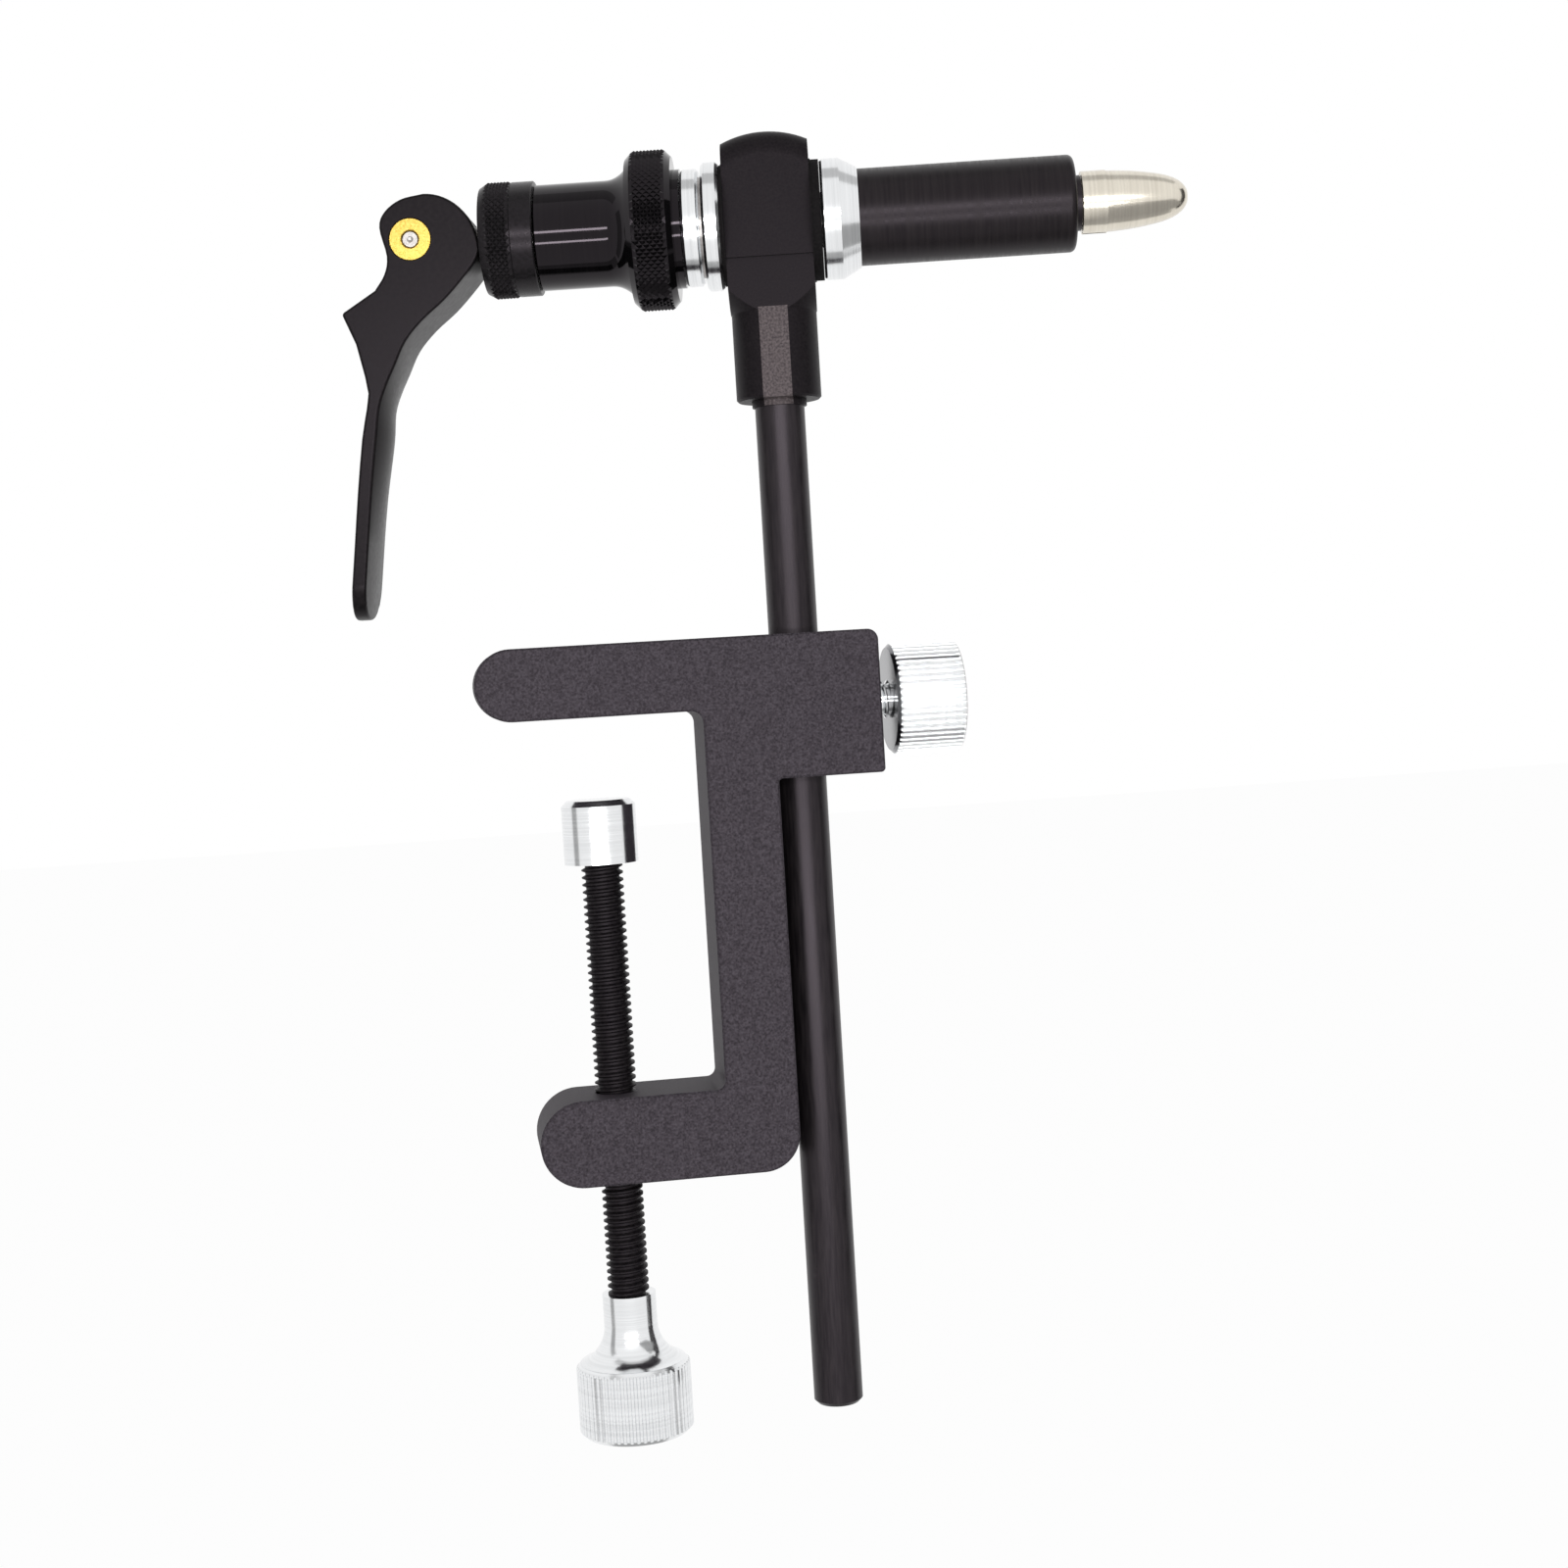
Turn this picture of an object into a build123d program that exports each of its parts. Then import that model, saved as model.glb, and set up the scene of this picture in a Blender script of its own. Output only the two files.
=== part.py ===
from build123d import *
import os
from math import cos, pi, radians, sin, tan

os.makedirs("parts", exist_ok=True)

# A rotary fly tying vise. The origin lies on the clamp screw's axis, at the face that sits on the table top.
# +X points along the hook jaws, +Z up the stem. All sizes are in millimetres.

# Fits that all the pieces share
running_clearance = 0.05
seat_gap = 0.1
cut_overrun = 2.0

# C-clamp body, milled from one bar
clamp_thickness = 18.0
throat_height = 72.0
throat_depth = 20.25
upper_arm_height = 13.65
upper_arm_reach = 22.15
lower_arm_height = 16.5
lower_arm_reach = 15.35
upright_width = 13.75
block_depth = 13.75
block_wall = 14.95
throat_top_radius = 2.3
throat_bottom_radius = 1.7
block_top_radius = 2.1
block_bottom_radius = 0.85
block_root_radius = 0.75
heel_radius = 7.1
clamp_edge_break = 0.4

# Stem, a plain rod that slides and turns in the clamp's block
stem_diameter = 9.525
stem_clearance = 0.9
stem_drop = 136.5
stem_rise = 58.4
stem_seat_depth = 14.2
stem_end_chamfer = 0.75

# Clamp screw, its swivelling pad and its fluted knob
screw_diameter = 7.94
screw_pitch = 1.411
thread_depth = 0.7
thread_crest_share = 0.2
thread_root_share = 0.3
screw_thread_length = 83.25
screw_spigot_diameter = 5.3
pad_drop = 15.8
pad_diameter = 14.2
pad_height = 12.1
pad_bore_depth = 8.0
pad_chamfer = 1.05
pad_ring_wire = 0.85
pad_ring_drop = 3.8
knob_diameter = 22.0
knob_neck_diameter = 10.3
knob_neck_length = 6.0
knob_flare_length = 7.0
knob_shoulder_width = 0.85
knob_grip_length = 14.0
knob_chamfer = 0.95
knob_bore_depth = 19.0
knob_flute_depth = 0.4
knob_flute_count = 54

# Lock screw, which pinches the stem from the side
lock_diameter = 7.4
lock_tip_length = 2.85
lock_neck_length = 2.85
lock_knob_diameter = 21.7
lock_knob_length = 13.5
lock_knob_chamfer = 0.9
lock_knob_edge = 0.55
lock_spigot_diameter = 6.0
lock_bore_depth = 10.4

# Tee head, a square bar turned down to a socket for the stem, and how far it stands swivelled on the stem
tee_width = 16.5
tee_crown_height = 16.55
tee_crown_fall = 1.85
tee_crown_edge_radius = 4.75
tee_ridge_drop = 7.4
tee_ridge_step = 0.58
tee_shoulder_drop = 12.6
tee_taper_drop = 17.3
socket_diameter = 16.3
socket_drop = 33.8
socket_edge = 0.4
socket_lip_diameter = 10.5
socket_lip_length = 1.2
head_swivel_angle = -10.0

# Spindle and the bushes and washers that it turns in
spindle_diameter = 10.4
bush_wall = 1.2
bush_gap = 0.95
flange_diameter = 23.1
flange_thickness = 0.3
rear_washer_thickness = 0.4
front_washer_thickness = 1.55
washer_inset = 0.2

# Rings and knobs behind the tee
thrust_ring_diameter = 24.15
thrust_ring_length = 3.25
spring_washer_diameter = 18.9
spring_washer_thickness = 0.55
tension_washer_diameter = 22.05
tension_washer_length = 3.45
ring_edge = 0.5
knob_lip_diameter = 22.35
knob_lip_length = 1.4
tension_grip_diameter = 30.2
tension_grip_length = 8.7
tension_grip_chamfer = 1.05
barrel_flare_diameter = 24.15
barrel_flare_length = 4.35
barrel_diameter = 19.9
barrel_length = 13.25
barrel_groove = 0.2
adjust_step_diameter = 21.6
adjust_step_length = 4.2
adjust_grip_diameter = 22.05
adjust_grip_length = 6.1
adjust_grip_chamfer = 1.0
adjust_back_wall = 2.65

# Collar, sleeve and nose ring in front of the tee
collar_diameter = 22.7
collar_length = 3.6
collar_cone_diameter = 18.9
collar_cone_length = 3.5
sleeve_diameter = 18.2
sleeve_length = 41.0
sleeve_edge_radius = 1.2
sleeve_thread_length = 9.5
sleeve_bore_diameter = 9.85
nose_diameter = 10.4
nose_length = 7.4
nose_reach = 1.15
nose_bore_diameter = 7.5

# Drawbar, which pulls the jaws into the nose ring
drawbar_diameter = 5.7
drawbar_collar_diameter = 9.1
drawbar_collar_length = 1.9
drawbar_neck_diameter = 2.85
drawbar_neck_length = 2.85
drawbar_head_diameter = 4.75
drawbar_head_length = 2.35
tongue_thickness = 4.35
tongue_entry = 2.65
eye_diameter = 7.95
return_spring_length = 7.6
return_spring_wire = 0.65
return_spring_bore_clearance = 0.3

# Hook jaws, two halves of one turned bullet
jaw_diameter = 11.75
jaw_shoulder_gap = 0.2
jaw_land_length = 4.65
jaw_step = 0.15
jaw_nose_length = 15.45
jaw_tip_diameter = 2.6
jaw_cone_diameter = 8.6
jaw_cone_angle = 15.0
jaw_cone_gap = 0.2
jaw_shank_diameter = 5.85
jaw_tail_diameter = 8.7
jaw_tail_front = 1.9
jaw_tail_gap = 0.4
jaw_pocket_clearance = 0.33
jaw_slit = 0.65
jaw_bite = 0.1
jaw_nose_shares = [(0.3, 0.945), (0.57, 0.84), (0.8, 0.68), (0.93, 0.48)]
jaw_spring_place = 7.65
jaw_spring_diameter = 2.25
jaw_spring_wire = 0.38
jaw_spring_length = 3.0
jaw_spring_clearance = 0.15

# Cam lever, its brass bushes and its pin
cam_reach = 13.15
cam_rise = 2.95
cam_steps = 6
lever_width = 16.1
lever_length = 71.0
lever_slot_gap = 0.25
lever_slot_drop = 4.45
lever_tip_radius = 7.1
lever_pin_diameter = 3.2
lever_pin_inset = 0.25
bush_flange_diameter = 8.05
bush_flange_length = 1.5
bush_body_diameter = 6.05
bush_end_gap = 0.15
back_of_cheek_shares = [(-0.081, 0.036), (-0.066, -0.040), (-0.076, -0.088), (-0.104, -0.129)]
heel_share = (-0.197, -0.185)
under_heel_shares = [(-0.164, -0.268), (-0.139, -0.371)]
front_of_lever_shares = [
    (-0.063, -0.330),
    (-0.030, -0.268),
    (0.018, -0.216),
    (0.080, -0.166),
    (0.132, -0.114),
    (0.168, -0.072),
]
paddle_height_shares = [-0.29, -0.37, -0.44, -0.52, -0.66, -0.80, -0.93, -1.0]
paddle_back_shares = [-0.140, -0.138, -0.147, -0.165, -0.186, -0.204, -0.221, -0.230]
paddle_edge_shares = [-0.043, -0.084, -0.113, -0.127, -0.148, -0.166, -0.182, -0.191]
paddle_crest_shares = [0.002, 0.010, 0.020, 0.026, 0.018, 0.010, 0.004, 0.002]

# Places that follow from the sizes
stem_offset = throat_depth + upright_width + stem_clearance + stem_diameter / 2
block_right = stem_offset + block_wall
upright_right = throat_depth + upright_width
lower_arm_top = -throat_height
lower_arm_bottom = lower_arm_top - lower_arm_height
lock_height = (upper_arm_height - block_depth) / 2
head_height = stem_rise + socket_drop
pad_bottom = -pad_drop - pad_height
neck_top = pad_bottom - screw_thread_length
grip_top = neck_top - knob_neck_length - knob_flare_length
grip_bottom = grip_top - knob_grip_length
flange_face = tee_width / 2 + flange_thickness
rear_washer_face = flange_face + rear_washer_thickness
front_washer_face = flange_face + front_washer_thickness
thrust_front = -rear_washer_face - seat_gap
thrust_back = thrust_front - thrust_ring_length
tension_washer_front = thrust_back - spring_washer_thickness
tension_washer_back = tension_washer_front - tension_washer_length
lip_front = tension_washer_back - seat_gap
grip_front = lip_front - knob_lip_length
grip_back = grip_front - tension_grip_length
barrel_front = grip_back - barrel_flare_length
barrel_back = barrel_front - barrel_length
adjust_front = barrel_back - barrel_groove
adjust_shoulder = adjust_front - adjust_step_length
adjust_back = adjust_shoulder - adjust_grip_length
spindle_back = adjust_back + adjust_back_wall + seat_gap
collar_back = front_washer_face + seat_gap
collar_shoulder = collar_back + collar_length
sleeve_back = collar_shoulder + collar_cone_length
sleeve_front = sleeve_back + sleeve_length
spindle_front = sleeve_back + sleeve_thread_length
nose_front = sleeve_front + nose_reach
nose_back = nose_front - nose_length
drawbar_collar_back = spindle_front + return_spring_length + seat_gap
drawbar_collar_front = drawbar_collar_back + drawbar_collar_length
drawbar_head_back = drawbar_collar_front + drawbar_neck_length
drawbar_head_front = drawbar_head_back + drawbar_head_length
jaw_pivot = (drawbar_head_back + drawbar_head_front) / 2
jaw_back = drawbar_collar_front + jaw_tail_gap
jaw_shoulder = nose_front + jaw_shoulder_gap
jaw_land_front = jaw_shoulder + jaw_land_length
jaw_tip = jaw_land_front + jaw_nose_length
pin_place = adjust_back - cam_reach
screw_radius = screw_diameter / 2
stem_bore_radius = stem_diameter / 2 + running_clearance
spindle_radius = spindle_diameter / 2
spindle_bore_radius = spindle_radius + running_clearance
bush_radius = spindle_bore_radius + bush_wall
drawbar_radius = drawbar_diameter / 2
drawbar_bore_radius = drawbar_radius + running_clearance
slot_half_width = tongue_thickness / 2 + lever_slot_gap

# Planes that the turned pieces are drawn on: the first axis is measured along X, the second up Z
stem_plane = Plane(origin=(stem_offset, 0, 0), x_dir=(1, 0, 0), z_dir=(0, -1, 0))
head_plane = Plane(origin=(stem_offset, 0, head_height), x_dir=(1, 0, 0), z_dir=(0, -1, 0))
lock_plane = Plane(origin=(stem_offset, 0, lock_height), x_dir=(1, 0, 0), z_dir=(0, -1, 0))
lever_plane = Plane(origin=(stem_offset + pin_place, 0, head_height), x_dir=(1, 0, 0), z_dir=(0, -1, 0))
stem_axis = Axis((stem_offset, 0, 0), (0, 0, 1))
head_axis = Axis((stem_offset, 0, head_height), (1, 0, 0))
lock_axis = Axis((stem_offset, 0, lock_height), (1, 0, 0))


def section(plane, points):
    """A closed face with straight sides."""
    with BuildSketch(plane) as drawing:
        with BuildLine():
            Polyline(points, close=True)
        make_face()
    return drawing.sketch


def ring_section(plane, start, end, inner, outer, edge=0):
    """The half section of a ring along the first axis, its outer corners broken by edge."""
    points = [(start, inner), (start, outer - edge), (start + edge, outer)]
    points += [(end - edge, outer), (end, outer - edge), (end, inner)]
    return section(plane, points if edge else [(start, inner), (start, outer), (end, outer), (end, inner)])


def fluted_section(plane, diameter):
    """A round section with half-round flutes all round its rim."""
    with BuildSketch(plane) as drawing:
        Circle(diameter / 2)
        with PolarLocations(diameter / 2, knob_flute_count):
            Circle(knob_flute_depth, mode=Mode.SUBTRACT)
    return drawing.sketch


def thread_points(start, length, radius):
    """The outline of a row of thread crests, as (place, radius) points from start onwards."""
    turns = int(length / screw_pitch)
    flank = screw_pitch * (1 - thread_crest_share - thread_root_share) / 2
    points = []
    for turn in range(turns):
        crest = start + turn * screw_pitch
        root = crest + screw_pitch * thread_crest_share + flank
        points.append((crest, radius))
        points.append((crest + screw_pitch * thread_crest_share, radius))
        points.append((root, radius - thread_depth))
        points.append((root + screw_pitch * thread_root_share, radius - thread_depth))
    points.append((start + turns * screw_pitch, radius))
    points.append((start + length, radius))
    return points


def lever_point(share):
    """A point of the lever's outline, measured from its pin."""
    return (share[0] * lever_length, share[1] * lever_length)


def cam_point(turn):
    """The cam's working face: its reach falls evenly as the lever turns through this angle."""
    reach = cam_reach - seat_gap - cam_rise * turn
    return (reach * cos(turn) + cam_rise * sin(turn), reach * sin(turn) - cam_rise * cos(turn))


def swivelled(piece):
    """The piece turned about the stem with the whole head, its label kept."""
    turned = piece.rotate(stem_axis, head_swivel_angle)
    turned.label = piece.label
    return turned


# Clamp body: two arms, the upright between them and the block that grips the stem
with BuildPart() as clamp_body:
    with BuildSketch(Plane.XZ) as clamp_outline:
        upper_round = upper_arm_height / 2
        lower_round = lower_arm_height / 2
        with Locations((upper_round - upper_arm_reach, 0)):
            arm_run = upper_arm_reach - upper_round + block_right
            Rectangle(arm_run, upper_arm_height, align=(Align.MIN, Align.MIN))
        with Locations((upper_round - upper_arm_reach, upper_round)):
            Circle(upper_round)
        with Locations((throat_depth, -block_depth)):
            Rectangle(block_right - throat_depth, block_depth + upper_round, align=(Align.MIN, Align.MIN))
        with Locations((throat_depth, lower_arm_bottom)):
            Rectangle(upright_width, upper_round - lower_arm_bottom, align=(Align.MIN, Align.MIN))
        with Locations((lower_round - lower_arm_reach, lower_arm_bottom)):
            arm_run = lower_arm_reach - lower_round + upright_right
            Rectangle(arm_run, lower_arm_height, align=(Align.MIN, Align.MIN))
        with Locations((lower_round - lower_arm_reach, lower_arm_bottom + lower_round)):
            Circle(lower_round)
        corners = [
            ((throat_depth, 0), throat_top_radius),
            ((throat_depth, lower_arm_top), throat_bottom_radius),
            ((block_right, upper_arm_height), block_top_radius),
            ((block_right, -block_depth), block_bottom_radius),
            ((upright_right, -block_depth), block_root_radius),
            ((upright_right, lower_arm_bottom), heel_radius),
        ]
        for place, radius in corners:
            fillet(clamp_outline.vertices().sort_by_distance(Vector(*place))[0], radius=radius)
    extrude(amount=clamp_thickness / 2, both=True)
    cheeks = clamp_body.faces().filter_by(Axis.Y).sort_by(Axis.Y)
    chamfer(cheeks[0].edges() + cheeks[-1].edges(), length=clamp_edge_break)
    with BuildSketch(Plane.XY.offset(-block_depth - cut_overrun)):
        with Locations((stem_offset, 0)):
            Circle(stem_bore_radius)
    extrude(amount=block_depth + upper_arm_height + 2 * cut_overrun, mode=Mode.SUBTRACT)
    with BuildSketch(Plane.XY.offset(lower_arm_bottom - cut_overrun)):
        Circle(screw_radius + running_clearance)
    extrude(amount=lower_arm_height + 2 * cut_overrun, mode=Mode.SUBTRACT)
    with BuildSketch(Plane.YZ.offset(stem_offset)):
        with Locations((0, lock_height)):
            Circle(lock_diameter / 2 + running_clearance)
    extrude(amount=block_wall + cut_overrun, mode=Mode.SUBTRACT)
clamp_body.part.label = "clamp_body"
export_step(clamp_body.part, "parts/clamp_body.step")

# Clamp screw: the threaded run between a spigot for the pad and a spigot for the knob
spigot_radius = screw_spigot_diameter / 2
spigot_top = pad_bottom + pad_bore_depth - seat_gap
ring_groove_height = pad_bottom + pad_ring_drop
screw_plane = Plane(origin=(0, 0, pad_bottom - seat_gap), x_dir=(0, 0, -1), z_dir=(0, 1, 0))
with BuildPart() as clamp_screw:
    spigot_length = spigot_top - pad_bottom + seat_gap
    knob_spigot_end = screw_thread_length - seat_gap + knob_bore_depth - seat_gap
    thread = thread_points(0, screw_thread_length - seat_gap, screw_radius)
    outline = [(-spigot_length, 0), (-spigot_length, spigot_radius), (0, spigot_radius)]
    outline += thread
    outline += [(screw_thread_length - seat_gap, spigot_radius)]
    outline += [(knob_spigot_end, spigot_radius), (knob_spigot_end, 0)]
    revolve(section(screw_plane, outline), axis=Axis.Z)
    with BuildSketch(Plane.XZ):
        with Locations((spigot_radius, ring_groove_height)):
            Circle(pad_ring_wire / 2 + running_clearance)
    revolve(axis=Axis.Z, mode=Mode.SUBTRACT)
clamp_screw.part.label = "clamp_screw"
export_step(clamp_screw.part, "parts/clamp_screw.step")

# Pad: a polished cap that stays still on the work while the screw turns inside it
with BuildPart() as clamp_pad:
    with BuildSketch(Plane.XY.offset(pad_bottom)):
        Circle(pad_diameter / 2)
    extrude(amount=pad_height)
    chamfer(clamp_pad.edges().group_by(Axis.Z)[-1], length=pad_chamfer)
    with BuildSketch(Plane.XY.offset(pad_bottom)):
        Circle(spigot_radius + running_clearance)
    extrude(amount=pad_bore_depth, mode=Mode.SUBTRACT)
    with BuildSketch(Plane.XZ):
        with Locations((spigot_radius, ring_groove_height)):
            Circle(pad_ring_wire / 2 + seat_gap)
    revolve(axis=Axis.Z, mode=Mode.SUBTRACT)
clamp_pad.part.label = "clamp_pad"
export_step(clamp_pad.part, "parts/clamp_pad.step")

# Pad ring: a wire ring in two facing grooves that keeps the pad on the screw
with BuildPart() as pad_ring:
    with BuildSketch(Plane.XZ):
        with Locations((spigot_radius, ring_groove_height)):
            Circle(pad_ring_wire / 2)
    revolve(axis=Axis.Z)
pad_ring.part.label = "pad_ring"
export_step(pad_ring.part, "parts/pad_ring.step")

# Clamp knob: a fluted grip that sweeps up into a slim neck
with BuildPart() as clamp_knob:
    knob_radius = knob_diameter / 2
    neck_radius = knob_neck_diameter / 2
    shoulder_radius = knob_radius - knob_shoulder_width
    flare_top = neck_top - knob_neck_length
    extrude(fluted_section(Plane.XY.offset(grip_bottom), knob_diameter), amount=knob_grip_length)
    grip_plane = Plane(origin=(0, 0, grip_bottom), x_dir=(0, 0, 1), z_dir=(0, -1, 0))
    grip_outline = ring_section(grip_plane, 0, knob_grip_length, 0, knob_radius, knob_chamfer)
    revolve(grip_outline, axis=Axis.Z, mode=Mode.INTERSECT)
    with BuildSketch(Plane.XZ):
        with BuildLine():
            Polyline([(0, grip_top), (0, neck_top), (neck_radius, neck_top), (neck_radius, flare_top)])
            TangentArc((neck_radius, flare_top), (shoulder_radius, grip_top), tangent=(0, -1))
            Line((shoulder_radius, grip_top), (0, grip_top))
        make_face()
    revolve(axis=Axis.Z)
    with BuildSketch(Plane.XY.offset(neck_top)):
        Circle(spigot_radius + running_clearance)
    extrude(amount=-knob_bore_depth, mode=Mode.SUBTRACT)
clamp_knob.part.label = "clamp_knob"
export_step(clamp_knob.part, "parts/clamp_knob.step")

# Stem: a straight rod, chamfered at both ends
with BuildPart() as stem:
    stem_radius = stem_diameter / 2
    stem_top = stem_rise + stem_seat_depth
    outline = [(0, -stem_drop), (stem_radius - stem_end_chamfer, -stem_drop)]
    outline += [(stem_radius, stem_end_chamfer - stem_drop), (stem_radius, stem_top - stem_end_chamfer)]
    outline += [(stem_radius - stem_end_chamfer, stem_top), (0, stem_top)]
    revolve(section(stem_plane, outline), axis=stem_axis)
stem.part.label = "stem"
export_step(stem.part, "parts/stem.step")

# Lock tip: a soft plug between the lock screw and the stem
lock_tip_start = stem_bore_radius + seat_gap
lock_screw_start = lock_tip_start + lock_tip_length + seat_gap
lock_knob_start = block_wall + lock_neck_length
lock_radius = lock_diameter / 2
with BuildPart() as lock_tip:
    lock_tip_end = lock_screw_start - seat_gap
    revolve(ring_section(lock_plane, lock_tip_start, lock_tip_end, 0, lock_radius), axis=lock_axis)
lock_tip.part.label = "lock_tip"
export_step(lock_tip.part, "parts/lock_tip.step")

# Lock screw: a threaded shank with a spigot that carries the knob
with BuildPart() as lock_screw:
    lock_spigot_radius = lock_spigot_diameter / 2
    lock_spigot_end = lock_knob_start + lock_bore_depth - seat_gap
    outline = [(lock_screw_start, 0)]
    outline += thread_points(lock_screw_start, lock_knob_start - lock_screw_start, lock_radius)
    outline += [(lock_knob_start, lock_spigot_radius)]
    outline += [(lock_spigot_end, lock_spigot_radius), (lock_spigot_end, 0)]
    revolve(section(lock_plane, outline), axis=lock_axis)
lock_screw.part.label = "lock_screw"
export_step(lock_screw.part, "parts/lock_screw.step")

# Lock knob: a short fluted cylinder with a wide chamfer towards the clamp
with BuildPart() as lock_knob:
    lock_knob_radius = lock_knob_diameter / 2
    lock_knob_end = lock_knob_start + lock_knob_length
    knob_centre = (stem_offset + lock_knob_start, 0, lock_height)
    knob_face = Plane(origin=knob_centre, x_dir=(0, 1, 0), z_dir=(1, 0, 0))
    extrude(fluted_section(knob_face, lock_knob_diameter), amount=lock_knob_length)
    outline = [(lock_knob_start, 0), (lock_knob_start, lock_knob_radius - lock_knob_chamfer)]
    outline += [(lock_knob_start + lock_knob_chamfer, lock_knob_radius)]
    outline += [(lock_knob_end - lock_knob_edge, lock_knob_radius)]
    outline += [(lock_knob_end, lock_knob_radius - lock_knob_edge), (lock_knob_end, 0)]
    revolve(section(lock_plane, outline), axis=lock_axis, mode=Mode.INTERSECT)
    with BuildSketch(knob_face):
        Circle(lock_spigot_radius + running_clearance)
    extrude(amount=lock_bore_depth, mode=Mode.SUBTRACT)
lock_knob.part.label = "lock_knob"
export_step(lock_knob.part, "parts/lock_knob.step")

# Tee head: a crowned square bar, bored across for the spindle and turned down below to take the stem,
# with a narrow lip round the stem at its foot
with BuildPart() as tee_head:
    tee_half = tee_width / 2
    socket_radius = socket_diameter / 2
    corner_radius = tee_half * 2 ** 0.5 + running_clearance
    crown_side = tee_crown_height - tee_crown_fall
    with BuildSketch(head_plane):
        with BuildLine():
            Polyline([
                (-tee_half, crown_side),
                (-tee_half, -socket_drop),
                (tee_half, -socket_drop),
                (tee_half, crown_side),
            ])
            ThreePointArc((tee_half, crown_side), (0, tee_crown_height), (-tee_half, crown_side))
        make_face()
    extrude(amount=tee_half, both=True)
    crown_edges = tee_head.faces().sort_by(Axis.Z)[-1].edges().filter_by(GeomType.CIRCLE)
    fillet(crown_edges, radius=tee_crown_edge_radius)
    with BuildSketch(head_plane):
        with BuildLine():
            Polyline([
                (0, tee_crown_height + cut_overrun),
                (0, -socket_drop),
                (socket_radius - socket_edge, -socket_drop),
                (socket_radius, socket_edge - socket_drop),
                (socket_radius, -tee_taper_drop),
                (corner_radius, -tee_shoulder_drop),
                (corner_radius, tee_crown_height + cut_overrun),
                (0, tee_crown_height + cut_overrun),
            ])
        make_face()
    revolve(axis=stem_axis, mode=Mode.INTERSECT)
    step_height = head_height - tee_ridge_drop
    with BuildSketch(Plane.XY.offset(step_height)):
        with Locations((stem_offset, tee_half), (stem_offset, -tee_half)):
            Rectangle(tee_width + cut_overrun, 2 * tee_ridge_step)
    extrude(amount=tee_ridge_drop - socket_drop, mode=Mode.SUBTRACT)
    with BuildSketch(Plane.YZ.offset(stem_offset - tee_half - cut_overrun)):
        with Locations((0, head_height)):
            Circle(bush_radius + running_clearance)
    extrude(amount=tee_width + 2 * cut_overrun, mode=Mode.SUBTRACT)
    lip_height = stem_rise - socket_lip_length
    with BuildSketch(Plane.XY.offset(lip_height)):
        with Locations((stem_offset, 0)):
            Circle(socket_lip_diameter / 2)
    extrude(amount=socket_lip_length)
    with BuildSketch(Plane.XY.offset(lip_height)):
        with Locations((stem_offset, 0)):
            Circle(stem_bore_radius)
    extrude(amount=socket_lip_length + stem_seat_depth + seat_gap, mode=Mode.SUBTRACT)
tee_head.part.label = "tee_head"
export_step(swivelled(tee_head.part), "parts/tee_head.step")

# Flanged bushes: one pressed in from each side of the tee head
bush_outline = [
    (bush_gap / 2, spindle_bore_radius),
    (bush_gap / 2, bush_radius),
    (tee_width / 2, bush_radius),
    (tee_width / 2, flange_diameter / 2),
    (flange_face, flange_diameter / 2),
    (flange_face, spindle_bore_radius),
]
with BuildPart() as bush_front:
    revolve(section(head_plane, bush_outline), axis=head_axis)
bush_front.part.label = "bush_front"
export_step(swivelled(bush_front.part), "parts/bush_front.step")

with BuildPart() as bush_rear:
    revolve(section(head_plane, [(-place, radius) for place, radius in bush_outline]), axis=head_axis)
bush_rear.part.label = "bush_rear"
export_step(swivelled(bush_rear.part), "parts/bush_rear.step")

# Friction washers: fibre discs between the bush flanges and the rings that turn
washer_radius = flange_diameter / 2 - washer_inset
with BuildPart() as friction_washer_front:
    revolve(
        ring_section(head_plane, flange_face, front_washer_face, spindle_bore_radius, washer_radius),
        axis=head_axis,
    )
friction_washer_front.part.label = "friction_washer_front"
export_step(swivelled(friction_washer_front.part), "parts/friction_washer_front.step")

with BuildPart() as friction_washer_rear:
    revolve(
        ring_section(head_plane, -rear_washer_face, -flange_face, spindle_bore_radius, washer_radius),
        axis=head_axis,
    )
friction_washer_rear.part.label = "friction_washer_rear"
export_step(swivelled(friction_washer_rear.part), "parts/friction_washer_rear.step")

# Spindle: the tube that the whole head turns on
with BuildPart() as spindle:
    revolve(
        ring_section(head_plane, spindle_back, spindle_front, drawbar_bore_radius, spindle_radius),
        axis=head_axis,
    )
spindle.part.label = "spindle"
export_step(swivelled(spindle.part), "parts/spindle.step")

# Thrust ring: bears on the rear friction washer
with BuildPart() as thrust_ring:
    ring_outer = thrust_ring_diameter / 2
    revolve(
        ring_section(head_plane, thrust_back, thrust_front, spindle_bore_radius, ring_outer, ring_edge),
        axis=head_axis,
    )
thrust_ring.part.label = "thrust_ring"
export_step(swivelled(thrust_ring.part), "parts/thrust_ring.step")

# Spring washer: keeps the two bright rings apart and gives the drag its feel
with BuildPart() as spring_washer:
    washer_outer = spring_washer_diameter / 2
    revolve(
        ring_section(head_plane, tension_washer_front, thrust_back, spindle_bore_radius, washer_outer),
        axis=head_axis,
    )
spring_washer.part.label = "spring_washer"
export_step(swivelled(spring_washer.part), "parts/spring_washer.step")

# Tension washer: carries the tension knob's push to the spring washer
with BuildPart() as tension_washer:
    washer_outer = tension_washer_diameter / 2
    revolve(
        ring_section(
            head_plane,
            tension_washer_back,
            tension_washer_front,
            spindle_bore_radius,
            washer_outer,
            ring_edge,
        ),
        axis=head_axis,
    )
tension_washer.part.label = "tension_washer"
export_step(swivelled(tension_washer.part), "parts/tension_washer.step")

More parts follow.
